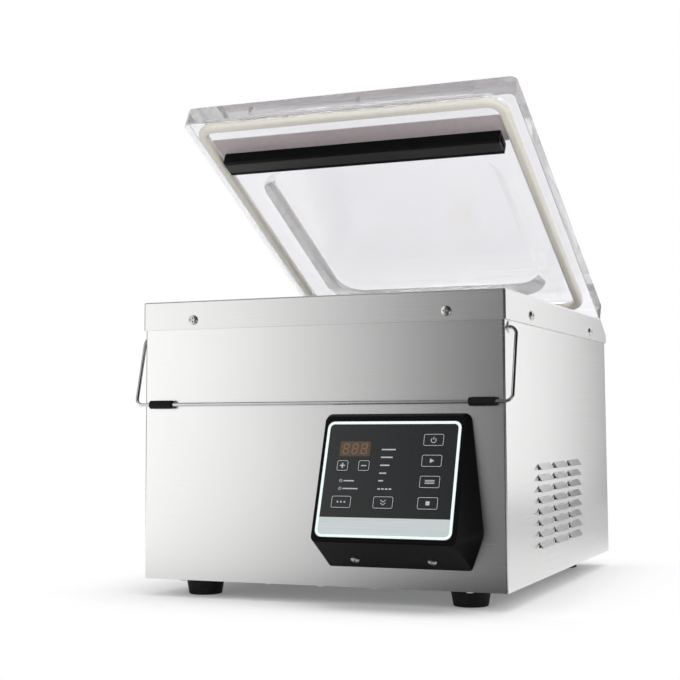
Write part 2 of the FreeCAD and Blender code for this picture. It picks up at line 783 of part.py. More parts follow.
def axis_point(x):
    return Vec(x, AXIS_Y, AXIS_Z)


def make_fixed_leaves():
    """Hinge leaf on the bevel with a knuckle near each end."""
    reach = (AXIS_Y - BEVEL_START) * math.cos(BEVEL_ANGLE) + (COVER_TOP - AXIS_Z) * math.sin(BEVEL_ANGLE)
    rise = (AXIS_Y - BEVEL_START) * math.sin(BEVEL_ANGLE) + (AXIS_Z - COVER_TOP) * math.cos(BEVEL_ANGLE)
    leaves = []
    for side in (-1, 1):
        mid = side * HINGE_X
        sheet_corners = [
            on_bevel(FIXED_LEAF_START, 0),
            on_bevel(FIXED_LEAF_END, 0),
            on_bevel(FIXED_LEAF_END, LEAF),
            on_bevel(FIXED_LEAF_START, LEAF),
        ]
        leaf = prism_x([(p.y, p.z) for p in sheet_corners], mid - HINGE_HALF, mid + HINGE_HALF)
        post_corners = [
            on_bevel(reach - KNUCKLE_RADIUS, LEAF),
            on_bevel(reach + KNUCKLE_RADIUS, LEAF),
            on_bevel(reach + KNUCKLE_RADIUS, rise),
            on_bevel(reach - KNUCKLE_RADIUS, rise),
        ]
        for x0, x1 in ((-HINGE_HALF, -FIXED_KNUCKLE_START), (FIXED_KNUCKLE_START, HINGE_HALF)):
            post = prism_x([(p.y, p.z) for p in post_corners], mid + x0, mid + x1)
            eye = rod(KNUCKLE_RADIUS, axis_point(mid + x0), axis_point(mid + x1))
            leaf = leaf.fuse([post, eye])
        leaf = leaf.removeSplitter()
        leaf = leaf.cut(rod(PIN_RADIUS + FIT, axis_point(mid - 40), axis_point(mid + 40)))
        holes = [p for p in hinge_screw_places() if abs(p.x - mid) < HINGE_HALF]
        leaves.append(drilled(leaf, holes, bevel_normal(), SCREW_HOLE, 6.0))
    return leaves


def make_lid_leaves():
    """Hinge leaf under the lid with one knuckle in the middle, in the closed lid."""
    leaves = []
    for side in (-1, 1):
        mid = side * HINGE_X
        y0, y1 = LID_FRONT + LID_LEAF_START, LID_FRONT + LID_LEAF_END
        leaf = box(mid - HINGE_HALF, mid + HINGE_HALF, y0, y1, LID_UNDER - LEAF, LID_UNDER)
        x0, x1 = mid - LID_KNUCKLE_HALF, mid + LID_KNUCKLE_HALF
        post = box(x0, x1, AXIS_Y - KNUCKLE_RADIUS, AXIS_Y + KNUCKLE_RADIUS, AXIS_Z, LID_UNDER - LEAF)
        eye = rod(KNUCKLE_RADIUS, axis_point(x0), axis_point(x1))
        leaf = leaf.fuse([post, eye]).removeSplitter()
        leaf = leaf.cut(rod(PIN_RADIUS + FIT, axis_point(x0 - 5), axis_point(x1 + 5)))
        holes = [p for p in lid_screw_places() if abs(p.x - mid) < HINGE_HALF]
        leaves.append(drilled(leaf, holes, Z_AXIS, SCREW_HOLE, 3.0))
    return leaves


def make_hinge_pins():
    """Pin through each hinge, with a small head at both ends."""
    pins = []
    for side in (-1, 1):
        mid = side * HINGE_X
        half = HINGE_HALF + PIN_END
        pin = rod(PIN_RADIUS, axis_point(mid - half), axis_point(mid + half))
        for end in (-1, 1):
            inner = mid + end * half
            outer = inner + end * PIN_HEAD_HEIGHT
            pin = pin.fuse(rod(PIN_RADIUS + PIN_HEAD, axis_point(inner), axis_point(outer)))
        pins.append(pin.removeSplitter())
    return pins


def arc_from(start, heading, end):
    """Arc from the start, leaving along the heading, to the end."""
    chord = end - start
    length = chord.Length
    along = Vec(chord).normalize()
    angle = heading.getAngle(along)
    sideways = (heading - along * heading.dot(along)).normalize()
    middle = start + chord * 0.5 + sideways * (length / 2 * math.tan(angle / 2))
    return Part.Arc(start, middle, end).toShape()


def biarc(start, start_heading, end, end_heading):
    """Two tangent arcs that leave the start and reach the end along the given headings."""
    gap = end - start
    both = start_heading + end_heading
    a = 2 * (1 - start_heading.dot(end_heading))
    b = 2 * gap.dot(both)
    c = -gap.dot(gap)
    reach = (-b + math.sqrt(b * b - 4 * a * c)) / (2 * a)
    knee = (start + start_heading * reach + end - end_heading * reach) * 0.5
    first = arc_from(start, start_heading, knee)
    back = arc_from(end, end_heading * -1, knee)
    middle = back.valueAt((back.FirstParameter + back.LastParameter) / 2)
    return [first, Part.Arc(knee, middle, end).toShape()]


def spring_path(start_x, first_deg):
    """Centre line of a torsion spring: straight leg, helix of quarter turn biarcs, straight leg."""
    quarter = math.pi / 2
    rise = SPRING_PITCH / 4
    points = []
    headings = []
    for k in range(4 * SPRING_TURNS + 1):
        angle = math.radians(first_deg) + k * quarter
        points.append(Vec(
            start_x + k * rise,
            AXIS_Y + SPRING_RADIUS * math.cos(angle),
            AXIS_Z + SPRING_RADIUS * math.sin(angle),
        ))
        heading = Vec(rise / quarter, -SPRING_RADIUS * math.sin(angle), SPRING_RADIUS * math.cos(angle))
        headings.append(heading.normalize())
    edges = [Part.makeLine(points[0] - headings[0] * SPRING_LEG, points[0])]
    for k in range(len(points) - 1):
        edges += biarc(points[k], headings[k], points[k + 1], headings[k + 1])
    edges.append(Part.makeLine(points[-1], points[-1] + headings[-1] * SPRING_LEG))
    return Part.Wire(edges)


def least_gap(path, samples):
    """Smallest clear distance between turns of a wire, measured on points along its centre line."""
    points = path.discretize(Number=samples)
    step = path.Length / (samples - 1)
    skip = int(math.pi * SPRING_RADIUS / step)
    least = 1e9
    for i, p in enumerate(points):
        for q in points[i + skip:]:
            least = min(least, (p - q).Length)
    return least - SPRING_WIRE


def make_hinge_springs():
    """Torsion spring on each hinge pin; one leg bears on the fixed leaf and the other under the lid leaf."""
    springs = []
    first_deg = -90 - math.degrees(BEVEL_ANGLE)
    for side in (-1, 1):
        start_x = side * HINGE_X + LID_KNUCKLE_HALF + SPRING_START
        path = spring_path(start_x, first_deg)
        print("spring least gap to itself, mm:", round(least_gap(path, 400), 2))
        springs.append(swept_round(path, SPRING_WIRE / 2))
    return springs


# Lid pieces, modelled closed and then swung open about the hinge pin

def opened(shape):
    shape.rotate(axis_point(0), X_AXIS, -LID_OPEN_DEG)
    return shape


def lid_y(back):
    """Place along Y of a distance back from the front edge of the closed lid."""
    return LID_FRONT + back


def gasket_ring(width, z0, z1):
    mid = lid_y((GASKET_FRONT + GASKET_REAR) / 2)
    depth = GASKET_REAR - GASKET_FRONT
    outer = plate(2 * GASKET_MID_X + width, depth + width, GASKET_CORNER + width / 2, z0, z1, 0, mid)
    inner = plate(2 * GASKET_MID_X - width, depth - width, GASKET_CORNER - width / 2, z0, z1, 0, mid)
    return outer.cut(inner)


def make_lid_panel():
    """Thick clear slab with a gasket groove and a shallow sloped recess on its underside."""
    top = LID_UNDER + LID_THICK
    slab = plate(LID_WIDTH, LID_LENGTH, LID_CORNER, LID_UNDER, top, 0, lid_y(LID_LENGTH / 2))
    rims = edges_where(slab, lambda b: b.ZLength < 0.01)
    slab = slab.makeFillet(LID_EDGE, rims)
    slab = slab.cut(gasket_ring(GASKET_WIDTH + 2 * FIT, LID_UNDER - 1, LID_UNDER + GASKET_SEAT + FIT))
    mid = lid_y((DOME_FRONT + DOME_REAR) / 2)
    depth = DOME_REAR - DOME_FRONT
    mouth = rounded_rectangle(2 * DOME_HALF, depth, DOME_CORNER, 0, mid, LID_UNDER)
    roof_z = LID_UNDER + DOME_DEPTH
    roof_width = 2 * (DOME_HALF - DOME_SLOPE)
    roof = rounded_rectangle(roof_width, depth - 2 * DOME_SLOPE, DOME_CORNER - DOME_SLOPE, 0, mid, roof_z)
    dome = Part.makeLoft([mouth, roof], True, True)
    roof_edges = edges_where(dome, lambda b: b.ZMin > roof_z - 0.01)
    slab = slab.cut(dome.makeFillet(DOME_EDGE, roof_edges))
    for place in bar_screw_places():
        slab = slab.cut(rod(SCREW_HOLE, place, place + Vec(0, 0, BAR_SCREW_HOLE_DEPTH)))
    return drilled(slab, lid_screw_places(), Z_AXIS, SCREW_HOLE, 10.0)


def make_lid_gasket():
    """Silicone seal in its groove, with a rounded lip below the lid."""
    ring = gasket_ring(GASKET_WIDTH, LID_UNDER - GASKET_STAND, LID_UNDER + GASKET_SEAT)
    lips = edges_where(ring, lambda b: b.ZMax < LID_UNDER - GASKET_STAND + 0.01)
    return ring.makeFillet(GASKET_LIP, lips)


def bar_screw_places():
    """Screws up through the press bar, in the closed lid."""
    return [Vec(x, BAR_MID_Y, LID_UNDER - BACKING) for x in BAR_SCREW_X]


def make_bar_backing():
    """Thin strip between the lid and the press bar."""
    strip = plate(
        2 * (GASKET_MID_X - GASKET_WIDTH / 2 - 1.0),
        BACKING_DEPTH,
        2.0,
        LID_UNDER - BACKING,
        LID_UNDER,
        0,
        lid_y(BACKING_FRONT + BACKING_DEPTH / 2),
    )
    return drilled(strip, bar_screw_places(), Z_AXIS, SCREW_HOLE, 3.0)


def make_press_bar():
    """Inverted channel along the lid, open below for the pressing strip."""
    y0, y1 = lid_y(BAR_FRONT), lid_y(BAR_FRONT + BAR_WIDTH)
    top, low = LID_UNDER - BACKING, BAR_BOTTOM + BACKING
    wall, lip, roof = BAR_WALL, BAR_LIP, low + BAR_CHANNEL
    outline = [
        (y0, top), (y1, top), (y1, low), (y1 - wall - lip, low), (y1 - wall - lip, low + lip),
        (y1 - wall, low + lip), (y1 - wall, roof), (y0 + wall, roof), (y0 + wall, low + lip),
        (y0 + wall + lip, low + lip), (y0 + wall + lip, low), (y0, low),
    ]
    bar = prism_x(outline, -BAR_HALF, BAR_HALF)
    return drilled(bar, bar_screw_places(), Z_AXIS, SCREW_HOLE, 20.0)


def make_press_strip():
    """Silicone strip held by the lips of the press bar."""
    side = BAR_WALL + STRIP_AIR
    y0, y1 = lid_y(BAR_FRONT) + side, lid_y(BAR_FRONT + BAR_WIDTH) - side
    low = BAR_BOTTOM + BACKING
    step = BAR_LIP + STRIP_AIR
    nose = BAR_WALL
    outline = [
        (y0, low + step), (y0, low + STRIP_SEAT), (y1, low + STRIP_SEAT), (y1, low + step),
        (y1 - step, low + step), (y1 - step, low), (y1 - nose, BAR_BOTTOM), (y0 + nose, BAR_BOTTOM),
        (y0 + step, low), (y0 + step, low + step),
    ]
    return prism_x(outline, -BAR_HALF + STRIP_END, BAR_HALF - STRIP_END)


def make_bar_screws():
    """Screws hidden in the press bar, their heads in the channel above the strip."""
    screws = []
    for place in bar_screw_places():
        seat = Vec(place.x, place.y, BAR_BOTTOM + BACKING + BAR_CHANNEL)
        screws.append(screw(seat, Vec(0, 0, -1), *BAR_SCREW))
    return screws


# Seal bar, which lifts against the press bar

def make_lift_cylinders():
    """Pair of small air cylinders under the chamber, with a neck and flange through its floor."""
    cylinders = []
    for side in (-1, 1):
        bore = POST_RADIUS + FIT
        outline = [
            (0, -LIFT_DEPTH),
            (LIFT_BODY, -LIFT_DEPTH),
            (LIFT_BODY, -LIFT_COLLAR_DEPTH),
            (LIFT_COLLAR, -LIFT_COLLAR_DEPTH),
            (LIFT_COLLAR, -SHEET),
            (LIFT_NECK, -SHEET),
            (LIFT_NECK, 0),
            (LIFT_FLANGE, 0),
            (LIFT_FLANGE, LIFT_FLANGE_HEIGHT - 1),
            (LIFT_FLANGE - 1, LIFT_FLANGE_HEIGHT),
            (bore, LIFT_FLANGE_HEIGHT),
            (bore, LIFT_END - LIFT_DEPTH),
            (0, LIFT_END - LIFT_DEPTH),
        ]
        cylinder = turned(outline)
        cylinder.translate(Vec(side * POST_X, BAR_MID_Y, PAN_FLOOR))
        cylinders.append(cylinder)
    return cylinders


def make_seal_carrier():
    """Aluminium channel that carries the heating strip."""
    y = BAR_MID_Y
    half = SEAL_WIDTH / 2
    inner = half - CARRIER_WALL
    web = CARRIER_TOP - CARRIER_WEB
    outline = [
        (y - half, CARRIER_TOP), (y + half, CARRIER_TOP), (y + half, CARRIER_BOTTOM),
        (y + inner, CARRIER_BOTTOM), (y + inner, web), (y - inner, web),
        (y - inner, CARRIER_BOTTOM), (y - half, CARRIER_BOTTOM),
    ]
    return prism_x(outline, -SEAL_HALF, SEAL_HALF)


def make_seal_insulator():
    half = SEAL_WIDTH / 2
    top = CARRIER_TOP + SEAL_BASE
    return box(-SEAL_HALF, SEAL_HALF, BAR_MID_Y - half, BAR_MID_Y + half, CARRIER_TOP, top)


def make_heating_strip():
    """Flat wire across the bar, bent down over both ends."""
    top = CARRIER_TOP + SEAL_BASE
    half = SEAL_STRIP_WIDTH / 2
    y0, y1 = BAR_MID_Y - half, BAR_MID_Y + half
    strip = box(-SEAL_HALF - SEAL_STRIP, SEAL_HALF + SEAL_STRIP, y0, y1, top, top + SEAL_STRIP)
    for side in (-1, 1):
        x0, x1 = sorted((side * SEAL_HALF, side * (SEAL_HALF + SEAL_STRIP)))
        strip = strip.fuse(box(x0, x1, y0, y1, CARRIER_TOP - SEAL_STRIP_DROP, top))
    return strip.removeSplitter()


def make_seal_tape():
    """Release tape folded over the top and both sides of the bar."""
    half = SEAL_WIDTH / 2
    top = CARRIER_TOP + SEAL_BASE + SEAL_STRIP
    low = CARRIER_TOP - SEAL_TAPE_DROP
    y = BAR_MID_Y
    t = SEAL_TAPE
    outline = [
        (y - half - t, low), (y - half - t, top + t), (y + half + t, top + t), (y + half + t, low),
        (y + half, low), (y + half, top), (y - half, top), (y - half, low),
    ]
    return prism_x(outline, -SEAL_HALF + SEAL_TAPE_INSET, SEAL_HALF - SEAL_TAPE_INSET)


def make_lift_posts():
    posts = []
    for side in (-1, 1):
        foot = Vec(side * POST_X, BAR_MID_Y, PAN_FLOOR - POST_DEPTH)
        posts.append(rod(POST_RADIUS, foot, Vec(foot.x, foot.y, CARRIER_TOP - CARRIER_WEB)))
    return posts


# Wire bail

def make_bail_wire():
    """One wire bent into a wide U, its ends turned into the side walls."""
    inside = BODY_HALF - BAIL_INSIDE
    route = []
    for side in (-1, 1):
        ends = [
            Vec(side * inside, BAIL_PIVOT_Y, BAIL_PIVOT_Z),
            Vec(side * BAIL_HALF, BAIL_PIVOT_Y, BAIL_PIVOT_Z),
            Vec(side * BAIL_HALF, BAIL_BAR_Y, BAIL_BAR_Z),
        ]
        route += ends if side < 0 else ends[::-1]
    return swept_round(joined_path(route, BAIL_BEND), BAIL_WIRE / 2)


def make_bail_sleeves():
    """Rubber buffers on the wire that rest against the case front."""
    sleeves = []
    for side in (-1, 1):
        a = Vec(side * SLEEVE_X - SLEEVE_LENGTH / 2, BAIL_BAR_Y, BAIL_BAR_Z)
        b = a + Vec(SLEEVE_LENGTH, 0, 0)
        sleeve = tube(SLEEVE_RADIUS, BAIL_WIRE / 2 + FIT, a, b)
        rims = edges_where(sleeve, lambda q: q.XLength < 0.01 and q.ZLength > 2 * SLEEVE_RADIUS - 0.1)
        sleeves.append(sleeve.makeFillet(SLEEVE_EDGE, rims))
    return sleeves


def make_bail_bushes():
    """Flanged bush in each side wall for the end of the wire."""
    bushes = []
    for side in (-1, 1):
        bore = BAIL_WIRE / 2 + FIT
        outline = [
            (bore, BUSH_PROUD), (BUSH_FACE, BUSH_PROUD), (BUSH_FLANGE, BUSH_PROUD * 0.4), (BUSH_FLANGE, 0),
            (BUSH_RADIUS, 0), (BUSH_RADIUS, -BUSH_DEPTH), (bore, -BUSH_DEPTH),
        ]
        bush = turned(outline)
        bushes.append(aimed(bush, Vec(side * BODY_HALF, BAIL_PIVOT_Y, BAIL_PIVOT_Z), Vec(side, 0, 0)))
    return bushes


# Control box: a wedge whose rounded hexagonal back runs out to a tilted rectangular face

def on_panel(across, down, out):
    """Point on the tilted panel: across from its middle, down from its top edge, out from its face."""
    y = PANEL_TOP_Y - down * math.sin(PANEL_TILT) - out * math.cos(PANEL_TILT)
    z = PANEL_TOP_Z - down * math.cos(PANEL_TILT) + out * math.sin(PANEL_TILT)
    return Vec(BOX_MID_X + across, y, z)


def laid_on_panel(shape):
    """Places a shape modelled flat, with X across, -Y down the panel and Z outwards, on the panel."""
    turn = FreeCAD.Rotation(X_AXIS, 90 - PANEL_TILT_DEG)
    shape.Placement = FreeCAD.Placement(on_panel(0, 0, 0), turn).multiply(shape.Placement)
    return shape


def panel_plate(size, at, radius, out0, out1):
    return laid_on_panel(plate(size[0], size[1], radius, out0, out1, at[0], -at[1]))


def split_arcs(edges, wanted):
    """Cuts each listed arc of an outline into three equal arcs."""
    parts = []
    for index, edge in enumerate(edges):
        if index in wanted:
            first, last = edge.FirstParameter, edge.LastParameter
            third = (last - first) / 3
            parts += [edge.Curve.toShape(first + k * third, first + (k + 1) * third) for k in range(3)]
        else:
            parts.append(edge)
    return parts


def box_form(inset):
    """Solid wedge between the back outline and the face outline, drawn in by the inset."""
    wide = BASE_WIDE_HALF - inset
    low = BASE_LOW_HALF - inset
    top = BASE_TOP_HALF - inset
    back = rounded_outline([
        (-top, BASE_TOP_Z - inset, BASE_TOP_CORNER),
        (top, BASE_TOP_Z - inset, BASE_TOP_CORNER),
        (wide, BASE_WIDE_Z, BASE_WIDE_CORNER),
        (low, BASE_LOW_Z + inset, BASE_LOW_CORNER),
        (-low, BASE_LOW_Z + inset, BASE_LOW_CORNER),
        (-wide, BASE_WIDE_Z, BASE_WIDE_CORNER),
    ])
    half = FACE_HALF - inset
    face = rounded_outline([
        (-half, FACE_ABOVE - inset, FACE_CORNER),
        (half, FACE_ABOVE - inset, FACE_CORNER),
        (half, -PANEL_HEIGHT - FACE_BELOW + inset, FACE_CORNER),
        (-half, -PANEL_HEIGHT - FACE_BELOW + inset, FACE_CORNER),
    ])
    face = split_arcs(face, (4, 6))
    back_wire = Part.Wire(back)
    back_wire.Placement = FreeCAD.Placement(Vec(BOX_MID_X, BODY_FRONT, 0), FreeCAD.Rotation(X_AXIS, 90))
    face_wire = laid_on_panel(Part.Wire(face))
    face_wire.translate(on_panel(0, 0, -PANEL_THICK - inset) - on_panel(0, 0, 0))
    return Part.makeLoft([back_wire, face_wire], True, True)


def under_screw_places():
    """Two screws on the sloping underside of the control box, with the outward direction there."""
    front = on_panel(0, PANEL_HEIGHT + FACE_BELOW, -PANEL_THICK)
    slope = Vec(0, front.y - BODY_FRONT, front.z - BASE_LOW_Z).normalize()
    outward = Vec(0, -slope.z, slope.y)
    middle = Vec(0, BODY_FRONT, BASE_LOW_Z) + slope * BOX_SCREW_ALONG
    return [middle + Vec(BOX_MID_X + s * BOX_SCREW_X, 0, 0) for s in (-1, 1)], outward


def make_control_box():
    """Moulded hollow wedge, open to the case, with a framed window for the keys."""
    shell = box_form(0.0)
    front = edges_where(shell, lambda b: b.YMax < BODY_FRONT - 6.0)
    lip = [e for e in front if abs(panel_distance(e)) < 0.01]
    shell = shell.makeFillet(BOX_EDGE, lip)
    hollow = box_form(BOX_WALL)
    shell = shell.cut(hollow)
    opening = (PANEL_WIDTH - 2 * BOX_FRAME, PANEL_HEIGHT - 2 * BOX_FRAME)
    window = panel_plate(opening, (0, PANEL_HEIGHT / 2), 3.0, -12.0, 2.0)
    shell = shell.cut(window)
    places, outward = under_screw_places()
    return drilled(shell, places, outward, SCREW_HOLE, 6.0)


def panel_distance(edge):
    """How far an edge stands from the front plane of the moulding."""
    spots = [edge.valueAt(p) for p in (edge.FirstParameter, edge.LastParameter)]
    outward = Vec(0, -math.cos(PANEL_TILT), math.sin(PANEL_TILT))
    return max(abs((s - on_panel(0, 0, -PANEL_THICK)).dot(outward)) for s in spots)


def key_layout():
    """Every key as (name, size, centre across, centre down)."""
    keys = []
    for row, name in enumerate(("power", "start", "seal", "stop")):
        keys.append((name, KEY_SIZE, KEY_COLUMN_X, KEY_ROW_TOP + row * KEY_ROW_PITCH))
    last_row = KEY_ROW_TOP + 3 * KEY_ROW_PITCH
    keys.append(("mode", KEY_SIZE, MODE_KEY_X, last_row))
    keys.append(("vacuum", KEY_SIZE, VACUUM_KEY_X, last_row))
    keys.append(("plus", SMALL_KEY_SIZE, PLUS_KEY_X, SMALL_KEY_ROW))
    keys.append(("minus", SMALL_KEY_SIZE, MINUS_KEY_X, SMALL_KEY_ROW))
    return keys


def make_panel_overlay():
    """Face sheet with openings for the keys and the display."""
    size = (PANEL_WIDTH, PANEL_HEIGHT)
    sheet = panel_plate(size, (0, PANEL_HEIGHT / 2), PANEL_CORNER, -PANEL_THICK, 0)
    for _, size, across, down in key_layout():
        hole = (size[0] + 2 * KEY_GAP, size[1] + 2 * KEY_GAP)
        sheet = sheet.cut(panel_plate(hole, (across, down), KEY_CORNER + KEY_GAP, -5, 5))
    return sheet.cut(panel_plate(WINDOW_SIZE, WINDOW_AT, 0.8, -5, 5))


def make_key(size, across, down):
    """Key cap with a softened rim and a stem that faces its dome."""
    back = KEY_FACE - KEY_CAP
    cap = plate(size[0], size[1], KEY_CORNER, back, KEY_FACE)
    rim = edges_where(cap, lambda b: b.ZMin > KEY_FACE - 0.01)
    cap = cap.makeFillet(KEY_EDGE, rim)
    stem_end = BOARD_OUT + SNAP_RISE + KEY_TRAVEL + KEY_SLACK
    stem = rod(KEY_STEM_RADIUS, Vec(0, 0, stem_end), Vec(0, 0, back))
    key = cap.fuse(stem).removeSplitter()
    key.translate(Vec(across, -down, 0))
    return laid_on_panel(key)


def make_key_domes():
    """Snap dome on the board under each key."""
    domes = []
    for _, _, across, down in key_layout():
        dome = turned([(0, SNAP_RISE), (1.4, 1.5), (2.6, 1.0), (SNAP_RADIUS, 0), (0, 0)])
        dome.translate(Vec(across, -down, BOARD_OUT))
        domes.append(laid_on_panel(dome))
    return domes


def make_control_board():
    """Circuit board behind the keys, with a cable socket and a chip on its back."""
    back = BOARD_OUT - BOARD_THICK
    size = (PANEL_WIDTH - 2 * BOARD_INSET, PANEL_HEIGHT - 2 * BOARD_INSET)
    board = panel_plate(size, (0, PANEL_HEIGHT / 2), 2.0, back, BOARD_OUT)
    socket = panel_plate((20, 8), (-20, 60), 0.8, back - 6.4, back)
    chip = panel_plate((16, 10), (15, 45), 0.6, back - 2.0, back)
    return board.fuse([socket, chip]).removeSplitter()


def make_display_window():
    """Tinted window in the face sheet."""
    size = (WINDOW_SIZE[0] - WINDOW_FIT, WINDOW_SIZE[1] - WINDOW_FIT)
    return panel_plate(size, WINDOW_AT, 0.7, -PANEL_THICK, -WINDOW_FIT)


def make_display_digits():
    """Three-digit display block on the board behind the window."""
    return panel_plate(DIGIT_BLOCK, WINDOW_AT, 0.5, BOARD_OUT, -PANEL_THICK - KEY_GAP)


# Inside the case

def inlet_ears(out):
    """Screw places in the two ears of the inlet, at a distance out from the back sheet."""
    return [Vec(INLET_X + s * INLET_EAR, BODY_REAR + out, INLET_Z) for s in (-1, 1)]


def inlet_outline(size, y0, y1):
    """Mains inlet outline between two Y places: a rectangle with its two upper corners cut off."""
    half_w, half_h, cut = size[0] / 2, size[1] / 2, size[2]
    corners = [
        (-half_w, -half_h), (half_w, -half_h), (half_w, half_h - cut),
        (half_w - cut, half_h), (-half_w + cut, half_h), (-half_w, half_h - cut),
    ]
    points = [Vec(INLET_X + x, y0, INLET_Z + z) for x, z in corners]
    return Part.Face(Part.makePolygon(points + points[:1])).extrude(Vec(0, y1 - y0, 0))


def make_power_inlet():
    """Three-pin mains inlet: eared flange outside the back sheet, case inside, socket with blades."""
    flange = plate(*INLET_FLANGE, INLET_FLANGE_CORNER, 0, INLET_FLANGE_THICK)
    flange.rotate(Vec(0, 0, 0), X_AXIS, -90)
    flange.translate(Vec(INLET_X, BODY_REAR, INLET_Z))
    width, height, cut = INLET_CASE
    case_size = (width - INLET_CASE_FIT, height - INLET_CASE_FIT, cut)
    case = inlet_outline(case_size, BODY_REAR - INLET_DEPTH, BODY_REAR)
    inlet = flange.fuse(case).removeSplitter()
    floor = BODY_REAR - INLET_SOCKET_DEPTH
    inlet = inlet.cut(inlet_outline(INLET_SOCKET, floor, BODY_REAR + INLET_FLANGE_THICK + 1))
    for x, z in INLET_BLADES:
        blade = box(-1, 1, floor, BODY_REAR - INLET_BLADE_TIP, -2, 2)
        blade.translate(Vec(INLET_X + x, 0, INLET_Z + z))
        inlet = inlet.fuse(blade)
    return drilled(inlet.removeSplitter(), inlet_ears(0.0), Vec(0, 1, 0), INLET_SCREW_HOLE, 8.0)


def make_inlet_screws():
    return [screw(ear, Vec(0, 1, 0), *INLET_SCREW) for ear in inlet_ears(INLET_FLANGE_THICK)]


def make_pump_motor():
    """Motor with end bells, cooling ribs and a terminal box on top."""
    shell = MOTOR_RADIUS - 2.0
    bell = [(24.0, MOTOR_HALF), (34.0, MOTOR_HALF - 7.0), (shell, MOTOR_HALF - 15.0)]
    lower = [(0, -MOTOR_HALF)] + [(r, -z) for r, z in bell]
    motor = turned(lower + bell[::-1] + [(0, MOTOR_HALF)])
    for k in range(MOTOR_RIBS):
        z = (k - (MOTOR_RIBS - 1) / 2) * MOTOR_RIB_PITCH
        motor = motor.fuse(tube(MOTOR_RADIUS, shell - 2.0, Vec(0, 0, z - 1.5), Vec(0, 0, z + 1.5)))
    motor = aimed(motor.removeSplitter(), Vec(PUMP_X, PUMP_Y, PUMP_Z), X_AXIS)
    terminals = box(PUMP_X - 18, PUMP_X + 18, PUMP_Y - 14, PUMP_Y + 14, PUMP_Z + 30, PUMP_Z + 56)
    return motor.fuse(terminals).removeSplitter()


def make_pump_head():
    """Crankcase bolted to the motor, with a finned cylinder head on each side."""
    x0 = PUMP_X + MOTOR_HALF
    x1 = x0 + HEAD_LENGTH
    mid = (x0 + x1) / 2
    head = box(x0, x1, PUMP_Y - 30, PUMP_Y + 30, PUMP_Z - HEAD_HALF_Z, PUMP_Z + HEAD_HALF_Z)
    head = head.makeFillet(6.0, edges_where(head, lambda b: b.XLength > HEAD_LENGTH - 1))
    for side in (-1, 1):
        for fin in range(HEAD_FINS):
            y = PUMP_Y + side * (32.0 + fin * HEAD_FIN_PITCH)
            head = head.fuse(box(x0 + 4, x1 - 4, y - 1.2, y + 1.2, PUMP_Z - 24, PUMP_Z + 24))
        y0, y1 = sorted((PUMP_Y + side * 29, PUMP_Y + side * 56))
        head = head.fuse(rod(18.0, Vec(mid, y0, PUMP_Z), Vec(mid, y1, PUMP_Z)))
    stub = rod(PORT_BORE, Vec(mid, PUMP_Y, PUMP_Z + 30), Vec(mid, PUMP_Y, PUMP_Z + 50))
    return head.fuse(stub).removeSplitter()


def pump_bolt_places():
    return [Vec(PUMP_X + x, PUMP_Y + s * MOUNT_Y, TRAY_TOP) for x in MOUNT_X for s in (-1, 1)]


def make_pump_bracket():
    """Folded bracket under the pump, standing on four rubber mounts."""
    low = TRAY_TOP + MOUNT_HEIGHT
    x0, x1 = PUMP_X - 50.0, PUMP_X + 100.0
    bracket = box(x0, x1, PUMP_Y - 42, PUMP_Y + 42, low, low + 2.0)
    for x in (PUMP_X - 30.0, PUMP_X + 30.0):
        saddle = box(x - 5, x + 5, PUMP_Y - 30, PUMP_Y + 30, low + 2.0, PUMP_Z - 25.0)
        saddle = saddle.cut(rod(MOTOR_RADIUS + 0.2, Vec(x - 9, PUMP_Y, PUMP_Z), Vec(x + 9, PUMP_Y, PUMP_Z)))
        bracket = bracket.fuse(saddle)
    pad_top = PUMP_Z - HEAD_HALF_Z
    pad = box(PUMP_X + 60.0, PUMP_X + 98.0, PUMP_Y - 20, PUMP_Y + 20, low + 2.0, pad_top)
    return bracket.fuse(pad).removeSplitter()


def make_pump_mounts():
    """Rubber mounts between the tray and the pump bracket."""
    mounts = []
    for place in pump_bolt_places():
        mount = turned([(0, 0), (9.0, 0), (7.5, MOUNT_HEIGHT / 2), (9.0, MOUNT_HEIGHT), (0, MOUNT_HEIGHT)])
        mount.translate(place)
        mounts.append(mount)
    return mounts


def make_transformer_core():
    """Laminated core with two windows, on a bent foot."""
    x, y = TRANSFORMER_AT
    z0 = TRAY_TOP
    x0, x1 = x - CORE_HALF_X, x + CORE_HALF_X
    core = box(x0, x1, y - CORE_HALF_Y, y + CORE_HALF_Y, z0, z0 + CORE_HEIGHT)
    for side in (-1, 1):
        near, far = sorted((x + side * CORE_LEG, x + side * (CORE_LEG + CORE_YOKE)))
        core = core.cut(box(near, far, y - 30, y + 30, z0 + CORE_YOKE, z0 + CORE_HEIGHT - CORE_YOKE))
    feet = box(x0, x1, y - 32, y + 32, z0, z0 + 2.0)
    return core.fuse(feet).removeSplitter()


def make_transformer_coil():
    """Winding on a bobbin round the middle leg of the core."""
    x, y = TRANSFORMER_AT
    z0 = TRAY_TOP + CORE_YOKE + 2 * CORE_AIR
    z1 = TRAY_TOP + CORE_HEIGHT - CORE_YOKE - 2 * CORE_AIR
    coil = plate(*COIL_SIZE, 8.0, z0, z1, x, y)
    leg = CORE_LEG + CORE_AIR
    deep = CORE_HALF_Y + CORE_AIR
    return coil.cut(box(x - leg, x + leg, y - deep, y + deep, z0 - 1, z1 + 1))


